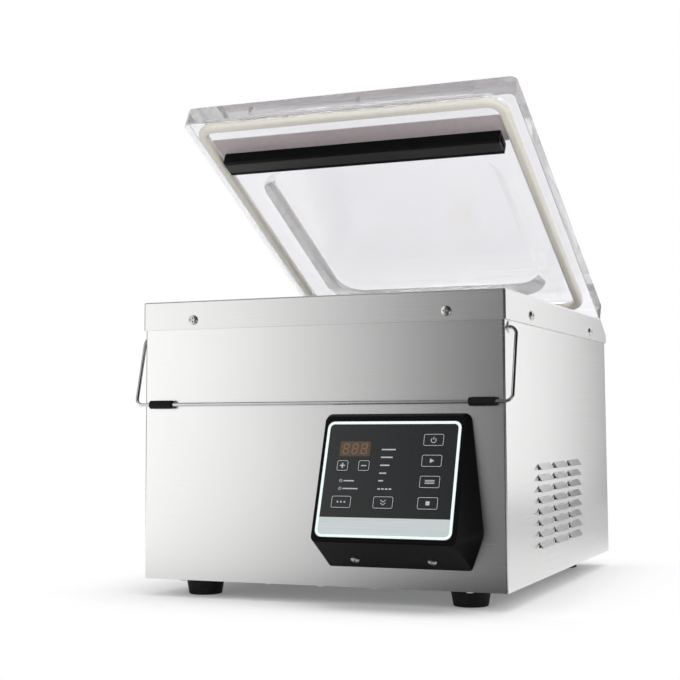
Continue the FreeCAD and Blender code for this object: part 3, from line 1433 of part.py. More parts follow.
def make_valve(place):
    """Solenoid valve: square body with a hose stub, coil and core cap."""
    x, y = place
    z0 = TRAY_TOP + VALVE_RAISE
    body = box(x - 15, x + 15, y - 15, y + 15, z0, z0 + 22)
    foot = box(x - 10, x + 10, y - 10, y + 10, TRAY_TOP, z0)
    coil = plate(34.0, 30.0, 5.0, z0 + 22, z0 + 54, x, y)
    cap = rod(7.0, Vec(x, y, z0 + 54), Vec(x, y, z0 + 60))
    stub = rod(PORT_BORE, Vec(x - 15, y, z0 + 11), Vec(x - 31, y, z0 + 11))
    return body.fuse([foot, coil, cap, stub]).removeSplitter()


def make_suction_hose():
    """Hose from the chamber port to the pump, pushed over both stubs."""
    top = Vec(0, PORT_Y, PAN_FLOOR - 5.0)
    pump = Vec(PUMP_X + MOTOR_HALF + HEAD_LENGTH / 2, PUMP_Y, PUMP_Z + 38.0)
    drop = (top.z + pump.z) / 2
    route = [top, Vec(0, PORT_Y, drop), Vec(pump.x, PUMP_Y, drop), pump]
    path = joined_path(route, HOSE_BEND)
    return swept_round(path, HOSE_RADIUS).cut(swept_round(path, PORT_STUB + FIT))


def make_power_board():
    """Power board with relays, a heat sink and a smoothing capacitor."""
    x, y = BOARD_AT
    z = TRAY_TOP + BOARD_RAISE
    top = z + BOARD_THICK
    board = box(x - BOARD_HALF_X, x + BOARD_HALF_X, y - BOARD_HALF_Y, y + BOARD_HALF_Y, z, top)
    relays = [box(x - 40 + k * 22, x - 24 + k * 22, y - 30, y - 10, top, z + 17) for k in range(3)]
    capacitor = rod(11.0, Vec(x + 32, y + 20, top), Vec(x + 32, y + 20, z + 32))
    fins = [box(x - 40 + k * 6, x - 38 + k * 6, y + 8, y + 30, top, z + 26) for k in range(6)]
    return board.fuse(relays + fins + [capacitor]).removeSplitter()


def make_board_posts():
    """Post under each corner of the power board."""
    x, y = BOARD_AT
    dx, dy = BOARD_HALF_X - BOARD_POST_INSET, BOARD_HALF_Y - BOARD_POST_INSET
    posts = []
    for sx in (-1, 1):
        for sy in (-1, 1):
            foot = Vec(x + sx * dx, y + sy * dy, TRAY_TOP)
            posts.append(rod(BOARD_POST_RADIUS, foot, foot + Vec(0, 0, BOARD_RAISE)))
    return posts


# All pieces, by name

nodes["base_plate"] = [make_base_plate()]
nodes["body_wrap"] = [make_body_wrap()]
nodes["rear_panel"] = [make_rear_panel()]
nodes["top_cover"] = [make_top_cover()]
nodes["chamber_pan"] = [make_chamber_pan()]
nodes["vacuum_port"] = [make_vacuum_port()]
nodes["rubber_feet"] = make_rubber_feet()
nodes["foot_bolts"] = make_foot_bolts()
nodes["cover_screws"] = []
for way, places in cover_screw_places.items():
    nodes["cover_screws"] += [screw(p, Vec(*way), *COVER_SCREW) for p in places]
nodes["base_screws"] = [screw(p, Vec(0, 0, -1), *BASE_SCREW) for p in base_screw_places]
nodes["rear_screws"] = [screw(p, Vec(0, 1, 0), *REAR_SCREW) for p in rear_screw_places]

nodes["control_box"] = [make_control_box()]
places, outward = under_screw_places()
nodes["control_box_screws"] = [screw(p, outward, *BOX_SCREW) for p in places]
nodes["panel_overlay"] = [make_panel_overlay()]
nodes["display_window"] = [make_display_window()]
nodes["display_digits"] = [make_display_digits()]
nodes["control_board"] = [make_control_board()]
nodes["key_domes"] = make_key_domes()
for name, size, across, down in key_layout():
    nodes["key_" + name] = [make_key(size, across, down)]

nodes["hinge_fixed_leaves"] = make_fixed_leaves()
nodes["hinge_pins"] = make_hinge_pins()
nodes["hinge_springs"] = make_hinge_springs()
up = bevel_normal()
nodes["hinge_screws"] = [screw(p + up * LEAF, up, *HINGE_SCREW) for p in hinge_screw_places()]

nodes["lid_panel"] = [opened(make_lid_panel())]
nodes["lid_gasket"] = [opened(make_lid_gasket())]
nodes["lid_bar_backing"] = [opened(make_bar_backing())]
nodes["press_bar"] = [opened(make_press_bar())]
nodes["press_strip"] = [opened(make_press_strip())]
nodes["press_bar_screws"] = [opened(s) for s in make_bar_screws()]
nodes["hinge_lid_leaves"] = [opened(s) for s in make_lid_leaves()]
leaf_screws = [screw(p, Vec(0, 0, -1), *LID_LEAF_SCREW) for p in lid_screw_places()]
nodes["lid_leaf_screws"] = [opened(s) for s in leaf_screws]

nodes["bail_wire"] = [make_bail_wire()]
nodes["bail_sleeves"] = make_bail_sleeves()
nodes["bail_bushes"] = make_bail_bushes()

nodes["lift_cylinders"] = make_lift_cylinders()
nodes["seal_carrier"] = [make_seal_carrier()]
nodes["seal_insulator"] = [make_seal_insulator()]
nodes["heating_strip"] = [make_heating_strip()]
nodes["seal_tape"] = [make_seal_tape()]
nodes["lift_posts"] = make_lift_posts()

nodes["power_inlet"] = [make_power_inlet()]
nodes["inlet_screws"] = make_inlet_screws()
nodes["pump_motor"] = [make_pump_motor()]
nodes["pump_head"] = [make_pump_head()]
nodes["pump_bracket"] = [make_pump_bracket()]
nodes["pump_mounts"] = make_pump_mounts()
nodes["transformer_core"] = [make_transformer_core()]
nodes["transformer_coil"] = [make_transformer_coil()]
nodes["vacuum_valve"] = [make_valve(VALVE_AT[0])]
nodes["vent_valve"] = [make_valve(VALVE_AT[1])]
nodes["suction_hose"] = [make_suction_hose()]
nodes["power_board"] = [make_power_board()]
nodes["board_posts"] = make_board_posts()

# The origin goes to the middle of the whole box, on the table
whole = Part.makeCompound([solid for group in nodes.values() for solid in group])
bounds = whole.optimalBoundingBox(False)
ORIGIN_SHIFT = Vec(0, -(bounds.YMin + bounds.YMax) / 2, 0)
print("box X", bounds.XMin, bounds.XMax, "Y", bounds.YMin, bounds.YMax, "Z", bounds.ZMin, bounds.ZMax)
print("shift along Y", ORIGIN_SHIFT.y)
print("lid axis", AXIS_Y + ORIGIN_SHIFT.y, AXIS_Z)
print("bail axis", BAIL_PIVOT_Y + ORIGIN_SHIFT.y, BAIL_PIVOT_Z)

for name, group in nodes.items():
    for solid in group:
        solid.translate(ORIGIN_SHIFT)
    shape = group[0] if len(group) == 1 else Part.makeCompound(group)
    shape.exportStep("parts/" + name + ".step")
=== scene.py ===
"""Looks of a countertop chamber vacuum sealer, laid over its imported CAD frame."""

import math

import bpy
import numpy as np
from mathutils import Matrix, Vector


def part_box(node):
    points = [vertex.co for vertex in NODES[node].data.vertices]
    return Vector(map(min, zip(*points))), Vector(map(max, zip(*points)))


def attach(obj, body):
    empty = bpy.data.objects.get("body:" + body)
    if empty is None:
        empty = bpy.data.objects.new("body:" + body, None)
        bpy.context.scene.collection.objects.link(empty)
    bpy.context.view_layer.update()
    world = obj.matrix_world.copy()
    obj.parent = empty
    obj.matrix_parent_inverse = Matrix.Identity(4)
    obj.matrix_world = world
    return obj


bl_info = {
    "name": "Chamber vacuum sealer looks",
    "version": (1, 0, 0),
    "blender": (4, 5, 0),
    "location": "View3D > Sidebar > Sealer",
    "description": "Finishes and panel print for a countertop chamber vacuum sealer",
    "category": "Object",
}

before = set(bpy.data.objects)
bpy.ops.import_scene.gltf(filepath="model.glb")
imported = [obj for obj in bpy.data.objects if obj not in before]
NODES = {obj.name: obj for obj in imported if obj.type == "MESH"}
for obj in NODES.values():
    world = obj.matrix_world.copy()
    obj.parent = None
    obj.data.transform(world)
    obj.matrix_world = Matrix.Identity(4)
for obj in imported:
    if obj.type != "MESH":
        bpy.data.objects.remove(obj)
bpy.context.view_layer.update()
MM = 0.001

# Panel layout in millimetres: across from the panel's middle, down from its top edge
TILT = math.radians(19.2)
PANEL_WIDTH = 115.8
PANEL_HEIGHT = 97.5
OVERLAY_LOW, OVERLAY_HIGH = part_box("panel_overlay")
PANEL_MID_X = (OVERLAY_LOW[0] + OVERLAY_HIGH[0]) / 2 / MM
PANEL_TOP_Y = OVERLAY_LOW[1] / MM + PANEL_HEIGHT * math.sin(TILT)
PANEL_TOP_Z = OVERLAY_HIGH[2] / MM
WINDOW_AT = (-31.4, 23.6)
WINDOW_FACE = -0.1  # out from the sheet, so a little below it
INK_SINK = 0.02  # how far print reaches into what it lies on

# Keys: size, then the middle's place across and down
WIDE_KEY = (17.3, 10.3)
SMALL_KEY = (10.0, 9.2)
KEYS = {
    "power": (WIDE_KEY, 35.4, 16.1),
    "start": (WIDE_KEY, 35.4, 33.5),
    "seal": (WIDE_KEY, 35.4, 50.9),
    "stop": (WIDE_KEY, 35.4, 68.3),
    "mode": (WIDE_KEY, -38.0, 68.3),
    "vacuum": (WIDE_KEY, -2.0, 68.3),
    "plus": (SMALL_KEY, -40.6, 37.9),
    "minus": (SMALL_KEY, -22.0, 37.9),
}
KEY_FACE = 0.1  # out from the sheet
KEY_INSET = 0.9
KEY_CORNER = 1.3

# Border and band, millimetres; the band's ink is a share of the border's
BORDER_GAP = 0.6
BAND_GAP = 0.4
BAND_CORNER = 0.8
BAND_CORNER_STEPS = 4
BAND_INK = 0.8

# Symbols on the keys, millimetres about the key's middle
POWER_RADIUS = 2.1
POWER_ENDS = (-50.0, 230.0)  # degrees
POWER_LINE = 0.55
POWER_STEM = 2.4
POWER_RING_AT = (0, 0.2)
POWER_STEM_AT = (0, -1.4)
START_POINTS = ((-1.5, -1.9), (2.1, 0.0), (-1.5, 1.9))
STOP_SIDE = 3.2
SEAL_LINE = (8.0, 0.6)
SEAL_ROWS = (-1.2, 0.0, 1.2)
MODE_DOT = 0.75
MODE_COLUMNS = (-3.0, 0.0, 3.0)
VACUUM_POINTS = ((-2.2, -0.8), (0.0, 0.9), (2.2, -0.8))
VACUUM_LINE = 0.6
VACUUM_ROWS = (-1.3, 1.1)
PLUS_SIZE = 4.4
PLUS_LINE = 1.0
MINUS_LINE = (4.4, 0.8)

# Level marks, a row of dashes and timer marks on the sheet, millimetres
LEVEL_ROWS = (24.3, 30.8, 37.5, 44.1, 50.4)
LEVEL_LEFT = -8.0
LEVEL_LONGEST = 12.0
LEVEL_STEP = 2.0
LEVEL_LINE = 1.1
DASHES = 4
DASH_LENGTH = 2.2
DASH_FIRST = -6.9
DASH_PITCH = 3.2
DASH_ROW = 57.2
TIMER_MARKS = ((50.7, 9.0, -33.6), (57.2, 13.0, -31.6))  # row, length, middle
TIMER_LINE = 1.0
DIAL_ACROSS = -40.5
DIAL_RADIUS = 1.15
DIAL_LINE = 0.35
DIAL_HAND = (0.3, 1.1)
DIAL_HAND_RISE = 0.4

# Display digits, millimetres; segments in shares of a digit's width and height
DIGIT_PLACES = (-1, 0, 1)
DIGIT_PITCH = 7.9
DIGIT_ASPECT = 0.52
DIGIT_LEAN = 0.1
SEGMENT_LINE = 0.95
SEGMENT_GAP = 0.3
SEGMENT_INK = 0.04
SEGMENTS = (  # across, down, upright
    (0, -0.5, False),
    (0, 0, False),
    (0, 0.5, False),
    (-0.5, -0.25, True),
    (0.5, -0.25, True),
    (-0.5, 0.25, True),
    (0.5, 0.25, True),
)

# Shared effects: node group's name, scale, stretch, detail, low and high level
EFFECTS = {
    "brushed": ("brushed_lines", 60.0, (0.25, 0.25, 40.0), 3.0, 0.3, 0.7),
    "grain": ("moulded_grain", 1800.0, (1.0, 1.0, 1.0), 2.0, 0.25, 0.75),
    "marks": ("handling_marks", 14.0, (1.0, 1.0, 1.0), 4.0, 0.42, 0.72),
}
MARK_SCALE = 9.0
DEFAULT_GRAIN = 900.0
TINT_GAIN = 1.12
TINT_LIFT = 0.002
SMOOTHEST = 0.02
BUMP_HEIGHT = 0.0002
METAL = 1.0
STEEL_LINE_GAIN = 1.035  # how much paler the steel is along its brushed lines

# Brushed lines and layers: scale, then the stretch along X, Y and Z
WRAP_LINES = (90.0, (0.06, 0.06, 40.0))
DECK_LINES = (90.0, (0.06, 12.0, 40.0))
CHAMBER_LINES = (40.0, (0.4, 20.0, 20.0))
BAR_LINES = (40.0, (0.2, 30.0, 30.0))
BAND_LINES = (50.0, (0.2, 30.0, 30.0))
TAPE_WEAVE = (900.0, (1.0, 1.0, 1.0))
POST_RINGS = (60.0, (1.0, 1.0, 30.0))
CORE_SHEETS = (60.0, (0.5, 30.0, 0.5))
WINDING_TURNS = (40.0, (0.5, 0.5, 20.0))

# Camera: its place in millimetres was solved with the panel's top edge at SOLVED_PANEL_Y
CAMERA_AT = (460.9, -1261.7, 150.6)
SOLVED_PANEL_Y = -205.0
LENS_SHIFT = (-0.0044, -0.0588)
SENSOR_WIDTH = 36.0
NEAR_CLIP = 0.01

# Stage in metres
WHITE = (1, 1, 1, 1)
FLOOR_HALF = 12.0
FLOOR_COLOUR = (0.95, 0.95, 0.95, 1)
FLOOR_ROUGHNESS = 0.6
FLOOR_SPECULAR = 0.2
FOOTPRINT = (0.166, 0.19, 0.0)  # half the ground under the case
SHADOW_FADE = (-0.04, 0.12)  # distances from the footprint between which the floor turns white
LAMP_AIM = (0, 0, 0.2)
LAMPS = (  # name, place, side, share of the power
    ("overhead", (0.35, -0.3, 1.9), 1.8, 1.0),
    ("right_fill", (1.5, -1.3, 0.9), 1.2, 0.35),
)
CARDS = (  # name, low corner, high corner, axis of the run, its ends, brightness there, turn
    ("upper_card", (-1.6, -1.5, 0.9), (1.3, -1.5, 1.6), "X", (-0.74, -0.44), (1.2, 0.02), 0.0),
    ("front_card", (-1.6, -1.5, 0.0), (1.3, -1.5, 0.9), "X", (-1.0, -0.06), (1.22, 0.05), 0.0),
    ("ground_card", (-1.0, -1.4, 0.001), (1.0, -0.28, 0.001), "X", (-0.4, 0.42), (1.22, 0.05),
     -20.5),
    ("near_ground_card", (-0.3, -0.35, 0.002), (0.3, -0.2, 0.002), "X", (-0.25, 0.12), (0.75, 0.03),
     0.0),
    ("side_card", (0.17, 1.25, 0.0), (1.3, 1.25, 0.4), "X", (0.36, 0.49), (0.0, 1.14), 0.0),
    ("side_ground_card", (0.2, -0.2, 0.001), (1.3, 1.25, 0.001), "Y", (0.1, 0.85), (0.8, 0.5), 0.0),
    ("right_card", (1.3, -1.5, 0.0), (1.3, 0.9, 1.6), "Y", (0.1, 0.9), (0.02, 0.5), 0.0),
    ("left_card", (-1.3, -0.8, 0.0), (-1.3, 1.2, 1.6), "Y", (-0.8, 1.2), (0.1, 0.1), 0.0),
    ("top_card", (-1.3, -1.5, 1.6), (1.3, 0.4, 1.6), "X", (-0.6, 0.2), (0.3, 0.04), 0.0),
)


class PanelPrintSettings(bpy.types.PropertyGroup):
    """Sizes of the print on the key panel"""

    border_line: bpy.props.FloatProperty(
        name="Border line", description="Width of the pale border, mm",
        default=2.3, min=0.5, max=6.0)
    border_corner: bpy.props.FloatProperty(
        name="Border corner", description="Corner radius of the border, mm",
        default=3.6, min=0.5, max=8.0)
    band_top: bpy.props.FloatProperty(
        name="Band top", description="Upper edge of the silver band, below the panel's top, mm",
        default=81.0)
    band_bottom: bpy.props.FloatProperty(
        name="Band bottom", description="Lower edge of the silver band, below the panel's top, mm",
        default=94.8)
    key_line: bpy.props.FloatProperty(
        name="Key line", description="Width of the outline on a key, mm",
        default=0.42, min=0.1, max=2.0)
    ink: bpy.props.FloatProperty(
        name="Ink", description="How far the print stands on the sheet, mm",
        default=0.06, min=0.01, max=0.3)
    digit_height: bpy.props.FloatProperty(
        name="Digit height", description="Height of a display digit, mm",
        default=8.2, min=2.0, max=12.0)


class FinishSettings(bpy.types.PropertyGroup):
    """Colours of the finishes, linear"""

    steel: bpy.props.FloatVectorProperty(
        name="Stainless", description="Brushed sheet",
        subtype="COLOR", size=3, default=(0.86, 0.86, 0.855))
    black: bpy.props.FloatVectorProperty(
        name="Black moulding", description="Control box",
        subtype="COLOR", size=3, default=(0.0022, 0.0022, 0.0024))
    charcoal: bpy.props.FloatVectorProperty(
        name="Charcoal", description="Key panel sheet",
        subtype="COLOR", size=3, default=(0.0115, 0.0125, 0.0135))
    border: bpy.props.FloatVectorProperty(
        name="Border", description="Pale border of the panel",
        subtype="COLOR", size=3, default=(0.80, 0.90, 0.89))
    band: bpy.props.FloatVectorProperty(
        name="Band", description="Silver band on the panel",
        subtype="COLOR", size=3, default=(0.54, 0.585, 0.59))
    ink: bpy.props.FloatVectorProperty(
        name="Ink", description="Symbols on the panel",
        subtype="COLOR", size=3, default=(0.42, 0.435, 0.445))
    gasket: bpy.props.FloatVectorProperty(
        name="Gasket", description="Silicone lid seal",
        subtype="COLOR", size=3, default=(0.69, 0.67, 0.605))


class StageSettings(bpy.types.PropertyGroup):
    """Camera and studio light"""

    lens: bpy.props.FloatProperty(
        name="Lens", description="Focal length of the camera, mm",
        default=72.95, min=10.0, max=300.0)
    yaw: bpy.props.FloatProperty(
        name="Yaw", description="Turn of the view to the left",
        subtype="ANGLE", default=math.radians(22.25))
    pitch: bpy.props.FloatProperty(
        name="Pitch", description="Upward tilt of the view",
        subtype="ANGLE", default=math.radians(5.05))
    roll: bpy.props.FloatProperty(
        name="Roll", description="Lean of the view",
        subtype="ANGLE", default=math.radians(-0.29))
    sky: bpy.props.FloatProperty(
        name="Sky", description="Strength of the even studio light",
        default=0.7, min=0.0, max=2.0)
    soft_box: bpy.props.FloatProperty(
        name="Soft box", description="Power of the overhead soft box",
        default=20.0, min=0.0, max=200.0)


def settings():
    """The sealer's settings: print, finishes and stage."""
    scene = bpy.context.scene
    return scene.sealer_print, scene.sealer_finish, scene.sealer_stage


# Surfaces

def on_panel(across, down, out):
    """Points in metres on the tilted panel: a plane that falls forward, raised along its normal."""
    across, down, out = np.broadcast_arrays(across, down, out)
    x = PANEL_MID_X + across
    y = PANEL_TOP_Y - down * math.sin(TILT) - out * math.cos(TILT)
    z = PANEL_TOP_Z - down * math.cos(TILT) + out * math.sin(TILT)
    return np.stack([x, y, z], axis=-1) * MM


def rounded_path(width, height, radius, steps=8):
    """Closed rounded rectangle: four quarter circles about the corner centres, joined straight."""
    angle = np.linspace(0, math.pi / 2, steps)
    turn = np.arange(4)[:, None] * math.pi / 2
    side_x = np.array([1, -1, -1, 1])[:, None] * (width / 2 - radius)
    side_y = np.array([1, 1, -1, -1])[:, None] * (height / 2 - radius)
    x = side_x + radius * np.cos(angle[None, :] + turn)
    y = side_y + radius * np.sin(angle[None, :] + turn)
    return np.stack([x.ravel(), y.ravel()], axis=-1)


def round_path(radius, start_deg=0.0, end_deg=360.0, steps=28):
    """Arc of a circle: the radius times the cosine and sine of an even angle."""
    whole = end_deg - start_deg >= 360.0
    angle = np.radians(np.linspace(start_deg, end_deg, steps, endpoint=not whole))
    return radius * np.stack([np.cos(angle), np.sin(angle)], axis=-1)


def ribbon(path, line, closed, base, ink):
    """Printed line: a flat profile of four corners, half the line to each side, along the path."""
    if closed:
        along = np.roll(path, -1, axis=0) - np.roll(path, 1, axis=0)
    else:
        along = np.gradient(path, axis=0)
    along = along / np.linalg.norm(along, axis=1, keepdims=True)
    side = np.stack([-along[:, 1], along[:, 0]], axis=-1) * line / 2
    offsets = np.array([-1.0, -1.0, 1.0, 1.0])
    heights = np.array([base - INK_SINK, base + ink, base + ink, base - INK_SINK])
    flat = path[:, None, :] + offsets[None, :, None] * side[:, None, :]
    raised = np.broadcast_to(heights[None, :, None], flat.shape[:2] + (1,))
    points = np.concatenate([flat, raised], axis=-1)
    count = len(path)
    rows = count if closed else count - 1
    i = np.repeat(np.arange(rows), 4)
    j = np.tile(np.arange(4), rows)
    nxt = (i + 1) % count
    k = (j + 1) % 4
    faces = np.stack([i * 4 + j, nxt * 4 + j, nxt * 4 + k, i * 4 + k], axis=-1)
    if not closed:
        last = (count - 1) * 4
        caps = np.array([[0, 1, 2, 3], [last + 3, last + 2, last + 1, last]])
        faces = np.concatenate([faces, caps])
    return points.reshape(-1, 3), faces


def pad(outline, base, ink):
    """Printed patch: rays from the middle to the outline, above and below, and a wall between."""
    count = len(outline)
    across, down = outline.mean(axis=0)
    top = np.column_stack([outline, np.full(count, base + ink)])
    low = np.column_stack([outline, np.full(count, base - INK_SINK)])
    centres = np.array([[across, down, base + ink], [across, down, base - INK_SINK]])
    points = np.concatenate([top, low, centres])
    i = np.arange(count)
    nxt = (i + 1) % count
    walls = np.stack([i, count + i, count + nxt, nxt], axis=-1)
    face = np.stack([np.full(count, 2 * count), i, nxt, nxt], axis=-1)
    back = np.stack([np.full(count, 2 * count + 1), count + nxt, count + i, count + i], axis=-1)
    return points, np.concatenate([walls, face, back])


def bar(width, height):
    """Plain bar: an outline half of each size to either side of its middle."""
    return np.array([[-width, -height], [width, -height], [width, height], [-width, height]]) / 2


def cross(size, line):
    """Plus sign: a twelve-cornered outline of two equal bars."""
    a, b = size / 2, line / 2
    return np.array([
        [-b, -a], [b, -a], [b, -b], [a, -b], [a, b], [b, b],
        [b, a], [-b, a], [-b, b], [-a, b], [-a, -b], [-b, -b],
    ])


def gathered(shapes):
    """One set of points and faces from several, each moved to its place (across, down)."""
    points, faces, start = [], [], 0
    for (p, f), (across, down) in shapes:
        points.append(p + np.array([across, down, 0.0]))
        faces.append(f + start)
        start += len(p)
    return np.concatenate(points), np.concatenate(faces)


def printed(name, shapes, material, body):
    """Puts gathered panel shapes, in (across, down, out), on the tilted panel as one piece."""
    points, faces = gathered(shapes)
    place = on_panel(points[:, 0], points[:, 1], points[:, 2])
    # A corner that comes twice marks a triangle
    lists = [list(dict.fromkeys(face)) for face in faces[:, ::-1].tolist()]
    mesh = bpy.data.meshes.new(name)
    mesh.from_pydata(place.tolist(), [], lists)
    mesh.validate()
    mesh.update()
    mesh.materials.append(material)
    piece = bpy.data.objects.new(name, mesh)
    bpy.context.scene.collection.objects.link(piece)
    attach(piece, body)


def flat_mesh(name, low, high):
    """Rectangle: low in both of its open axes, high in one, high in both, then low in the first."""
    low, high = np.array(low, dtype=float), np.array(high, dtype=float)
    first, second = np.flatnonzero(high - low)
    corners = np.tile(low, (4, 1))
    corners[1:3, first] = high[first]
    corners[2:, second] = high[second]
    mesh = bpy.data.meshes.new(name)
    mesh.from_pydata(corners.tolist(), [], [[0, 1, 2, 3]])
    return mesh


# Shared effects and finishes

def noise_group(name, scale, stretch, detail, low, high):
    """Noise on stretched object coordinates, opened out between two levels."""
    group = bpy.data.node_groups.new(name, "ShaderNodeTree")
    for label, kind, value in (
        ("Vector", "NodeSocketVector", (0, 0, 0)),
        ("Scale", "NodeSocketFloat", scale),
        ("Stretch", "NodeSocketVector", stretch),
    ):
        socket = group.interface.new_socket(name=label, in_out="INPUT", socket_type=kind)
        socket.default_value = value
    group.interface.new_socket(name="Mask", in_out="OUTPUT", socket_type="NodeSocketFloat")
    nodes, links = group.nodes, group.links
    enter = nodes.new("NodeGroupInput")
    leave = nodes.new("NodeGroupOutput")
    multiply = nodes.new("ShaderNodeVectorMath")
    multiply.operation = "MULTIPLY"
    noise = nodes.new("ShaderNodeTexNoise")
    noise.inputs["Detail"].default_value = detail
    spread = nodes.new("ShaderNodeMapRange")
    spread.inputs["From Min"].default_value = low
    spread.inputs["From Max"].default_value = high
    links.new(enter.outputs["Vector"], multiply.inputs[0])
    links.new(enter.outputs["Stretch"], multiply.inputs[1])
    links.new(multiply.outputs[0], noise.inputs["Vector"])
    links.new(enter.outputs["Scale"], noise.inputs["Scale"])
    links.new(noise.outputs["Fac"], spread.inputs["Value"])
    links.new(spread.outputs["Result"], leave.inputs["Mask"])
    return group


def effect(kind):
    """A shared effect's node group, made the first time it is asked for."""
    return bpy.data.node_groups.get(EFFECTS[kind][0]) or noise_group(*EFFECTS[kind])


def finish(name, base, roughness, metallic=0.0, shift=None, spread=0.0, lines=None,
           grain=DEFAULT_GRAIN, bump=0.0, marks=0.0, **plain):
    """Principled finish: colour and roughness vary with lines or grain, and marks roughen it."""
    material = bpy.data.materials.new(name)
    material.use_nodes = True
    nodes, links = material.node_tree.nodes, material.node_tree.links
    shader = nodes["Principled BSDF"]
    shader.inputs["Base Color"].default_value = (*base, 1.0)
    shader.inputs["Roughness"].default_value = roughness
    shader.inputs["Metallic"].default_value = metallic
    for socket, value in plain.items():
        shader.inputs[socket.replace("_", " ")].default_value = value
    place = nodes.new("ShaderNodeTexCoord")

    def placed(kind, scale, stretch=None):
        node = nodes.new("ShaderNodeGroup")
        node.node_tree = effect(kind)
        node.inputs["Scale"].default_value = scale
        if stretch is not None:
            node.inputs["Stretch"].default_value = stretch
        links.new(place.outputs["Object"], node.inputs["Vector"])
        return node.outputs["Mask"]

    fine = placed("brushed", *lines) if lines else placed("grain", grain)
    worn = placed("marks", MARK_SCALE)
    paler = shift or [min(1.0, c * TINT_GAIN + TINT_LIFT) for c in base]
    tint = nodes.new("ShaderNodeMix")
    tint.data_type = "RGBA"
    tint.inputs["A"].default_value = (*base, 1.0)
    tint.inputs["B"].default_value = (*paler, 1.0)
    links.new(fine, tint.inputs["Factor"])
    links.new(tint.outputs["Result"], shader.inputs["Base Color"])
    rough = nodes.new("ShaderNodeMapRange")
    rough.inputs["To Min"].default_value = max(SMOOTHEST, roughness - spread)
    rough.inputs["To Max"].default_value = roughness + spread
    links.new(fine, rough.inputs["Value"])
    smear = nodes.new("ShaderNodeMath")
    smear.operation = "MULTIPLY_ADD"
    smear.inputs[1].default_value = marks
    links.new(worn, smear.inputs[0])
    links.new(rough.outputs["Result"], smear.inputs[2])
    links.new(smear.outputs[0], shader.inputs["Roughness"])
    if bump:
        raise_it = nodes.new("ShaderNodeBump")
        raise_it.inputs["Strength"].default_value = bump
        raise_it.inputs["Distance"].default_value = BUMP_HEIGHT
        links.new(fine, raise_it.inputs["Height"])
        links.new(raise_it.outputs["Normal"], shader.inputs["Normal"])
    return material


def ink_finish():
    """Finish of the key, level and timer print, made the first time it is asked for."""
    return bpy.data.materials.get("panel_ink") or finish(
        "panel_ink", tuple(settings()[1].ink), roughness=0.45, spread=0.05)


def dress(material, *names):
    """Gives CAD nodes a finish without touching their meshes."""
    for name in names:
        node = NODES[name]
        if not node.material_slots:
            raise RuntimeError("node has no material slot: " + name)
        for slot in node.material_slots:
            slot.material = material


# Operators

class SEALER_OT_case(bpy.types.Operator):
    """Stainless case: brushed wrap, cover and back, satin chamber, plated screws and rubber feet"""

    bl_idname = "sealer.case"
    bl_label = "Case"

    def execute(self, context):
        steel = tuple(settings()[1].steel)
        paler = tuple(c * STEEL_LINE_GAIN for c in steel)
        brushed = dict(metallic=METAL, shift=paler, spread=0.025, bump=0.006, marks=0.02)
        dress(finish("brushed_wrap", steel, roughness=0.24, lines=WRAP_LINES, **brushed),
              "body_wrap", "rear_panel")
        dress(finish("brushed_deck", steel, roughness=0.29, lines=DECK_LINES, **brushed),
              "top_cover")
        dress(finish("satin_chamber", (0.62, 0.62, 0.62), roughness=0.34, metallic=METAL,
                     spread=0.04, lines=CHAMBER_LINES, bump=0.03, marks=0.05),
              "chamber_pan")
        dress(finish("zinc_sheet", (0.24, 0.25, 0.255), roughness=0.5, metallic=METAL, spread=0.08,
                     grain=220.0, marks=0.06),
              "base_plate", "pump_bracket")
        dress(finish("plated_screw", (0.7, 0.7, 0.69), roughness=0.26, metallic=METAL, spread=0.05,
                     grain=1500.0, marks=0.08),
              "cover_screws", "base_screws", "rear_screws", "foot_bolts", "control_box_screws",
              "inlet_screws")
        dress(finish("foot_rubber", (0.006, 0.006, 0.006), roughness=0.62, spread=0.08,
                     grain=1400.0, bump=0.25, marks=0.08, Specular_IOR_Level=0.2),
              "rubber_feet", "bail_sleeves", "pump_mounts", "suction_hose")
        return {"FINISHED"}


class SEALER_OT_lid(bpy.types.Operator):
    """Clear lid with its cream gasket, press bar, backing strip and hinges"""

    bl_idname = "sealer.lid"
    bl_label = "Lid"

    def execute(self, context):
        dress(finish("clear_acrylic", (0.945, 0.94, 0.98), roughness=0.02, spread=0.004, grain=60.0,
                     marks=0.004, shift=(0.935, 0.93, 0.975), Transmission_Weight=1.0, IOR=1.49,
                     Alpha=0.78),
              "lid_panel")
        dress(finish("cream_silicone", tuple(settings()[1].gasket), roughness=0.48, spread=0.05,
                     grain=700.0, bump=0.08, marks=0.1),
              "lid_gasket")
        dress(finish("backing_strip", (0.45, 0.395, 0.41), roughness=0.5, spread=0.06, grain=160.0,
                     marks=0.1),
              "lid_bar_backing")
        dress(finish("black_anodised", (0.0045, 0.0045, 0.005), roughness=0.36, spread=0.05,
                     lines=BAR_LINES, bump=0.05, marks=0.05, Specular_IOR_Level=0.04),
              "press_bar")
        dress(finish("black_silicone", (0.008, 0.008, 0.008), roughness=0.5, spread=0.05, bump=0.1),
              "press_strip")
        dress(finish("hinge_steel", (0.5, 0.5, 0.5), roughness=0.33, metallic=METAL, spread=0.06,
                     grain=600.0, marks=0.08),
              "hinge_fixed_leaves", "hinge_lid_leaves", "hinge_pins", "hinge_screws",
              "lid_leaf_screws", "press_bar_screws")
        dress(finish("spring_steel", (0.2, 0.2, 0.21), roughness=0.35, metallic=METAL, spread=0.06),
              "hinge_springs")
        return {"FINISHED"}


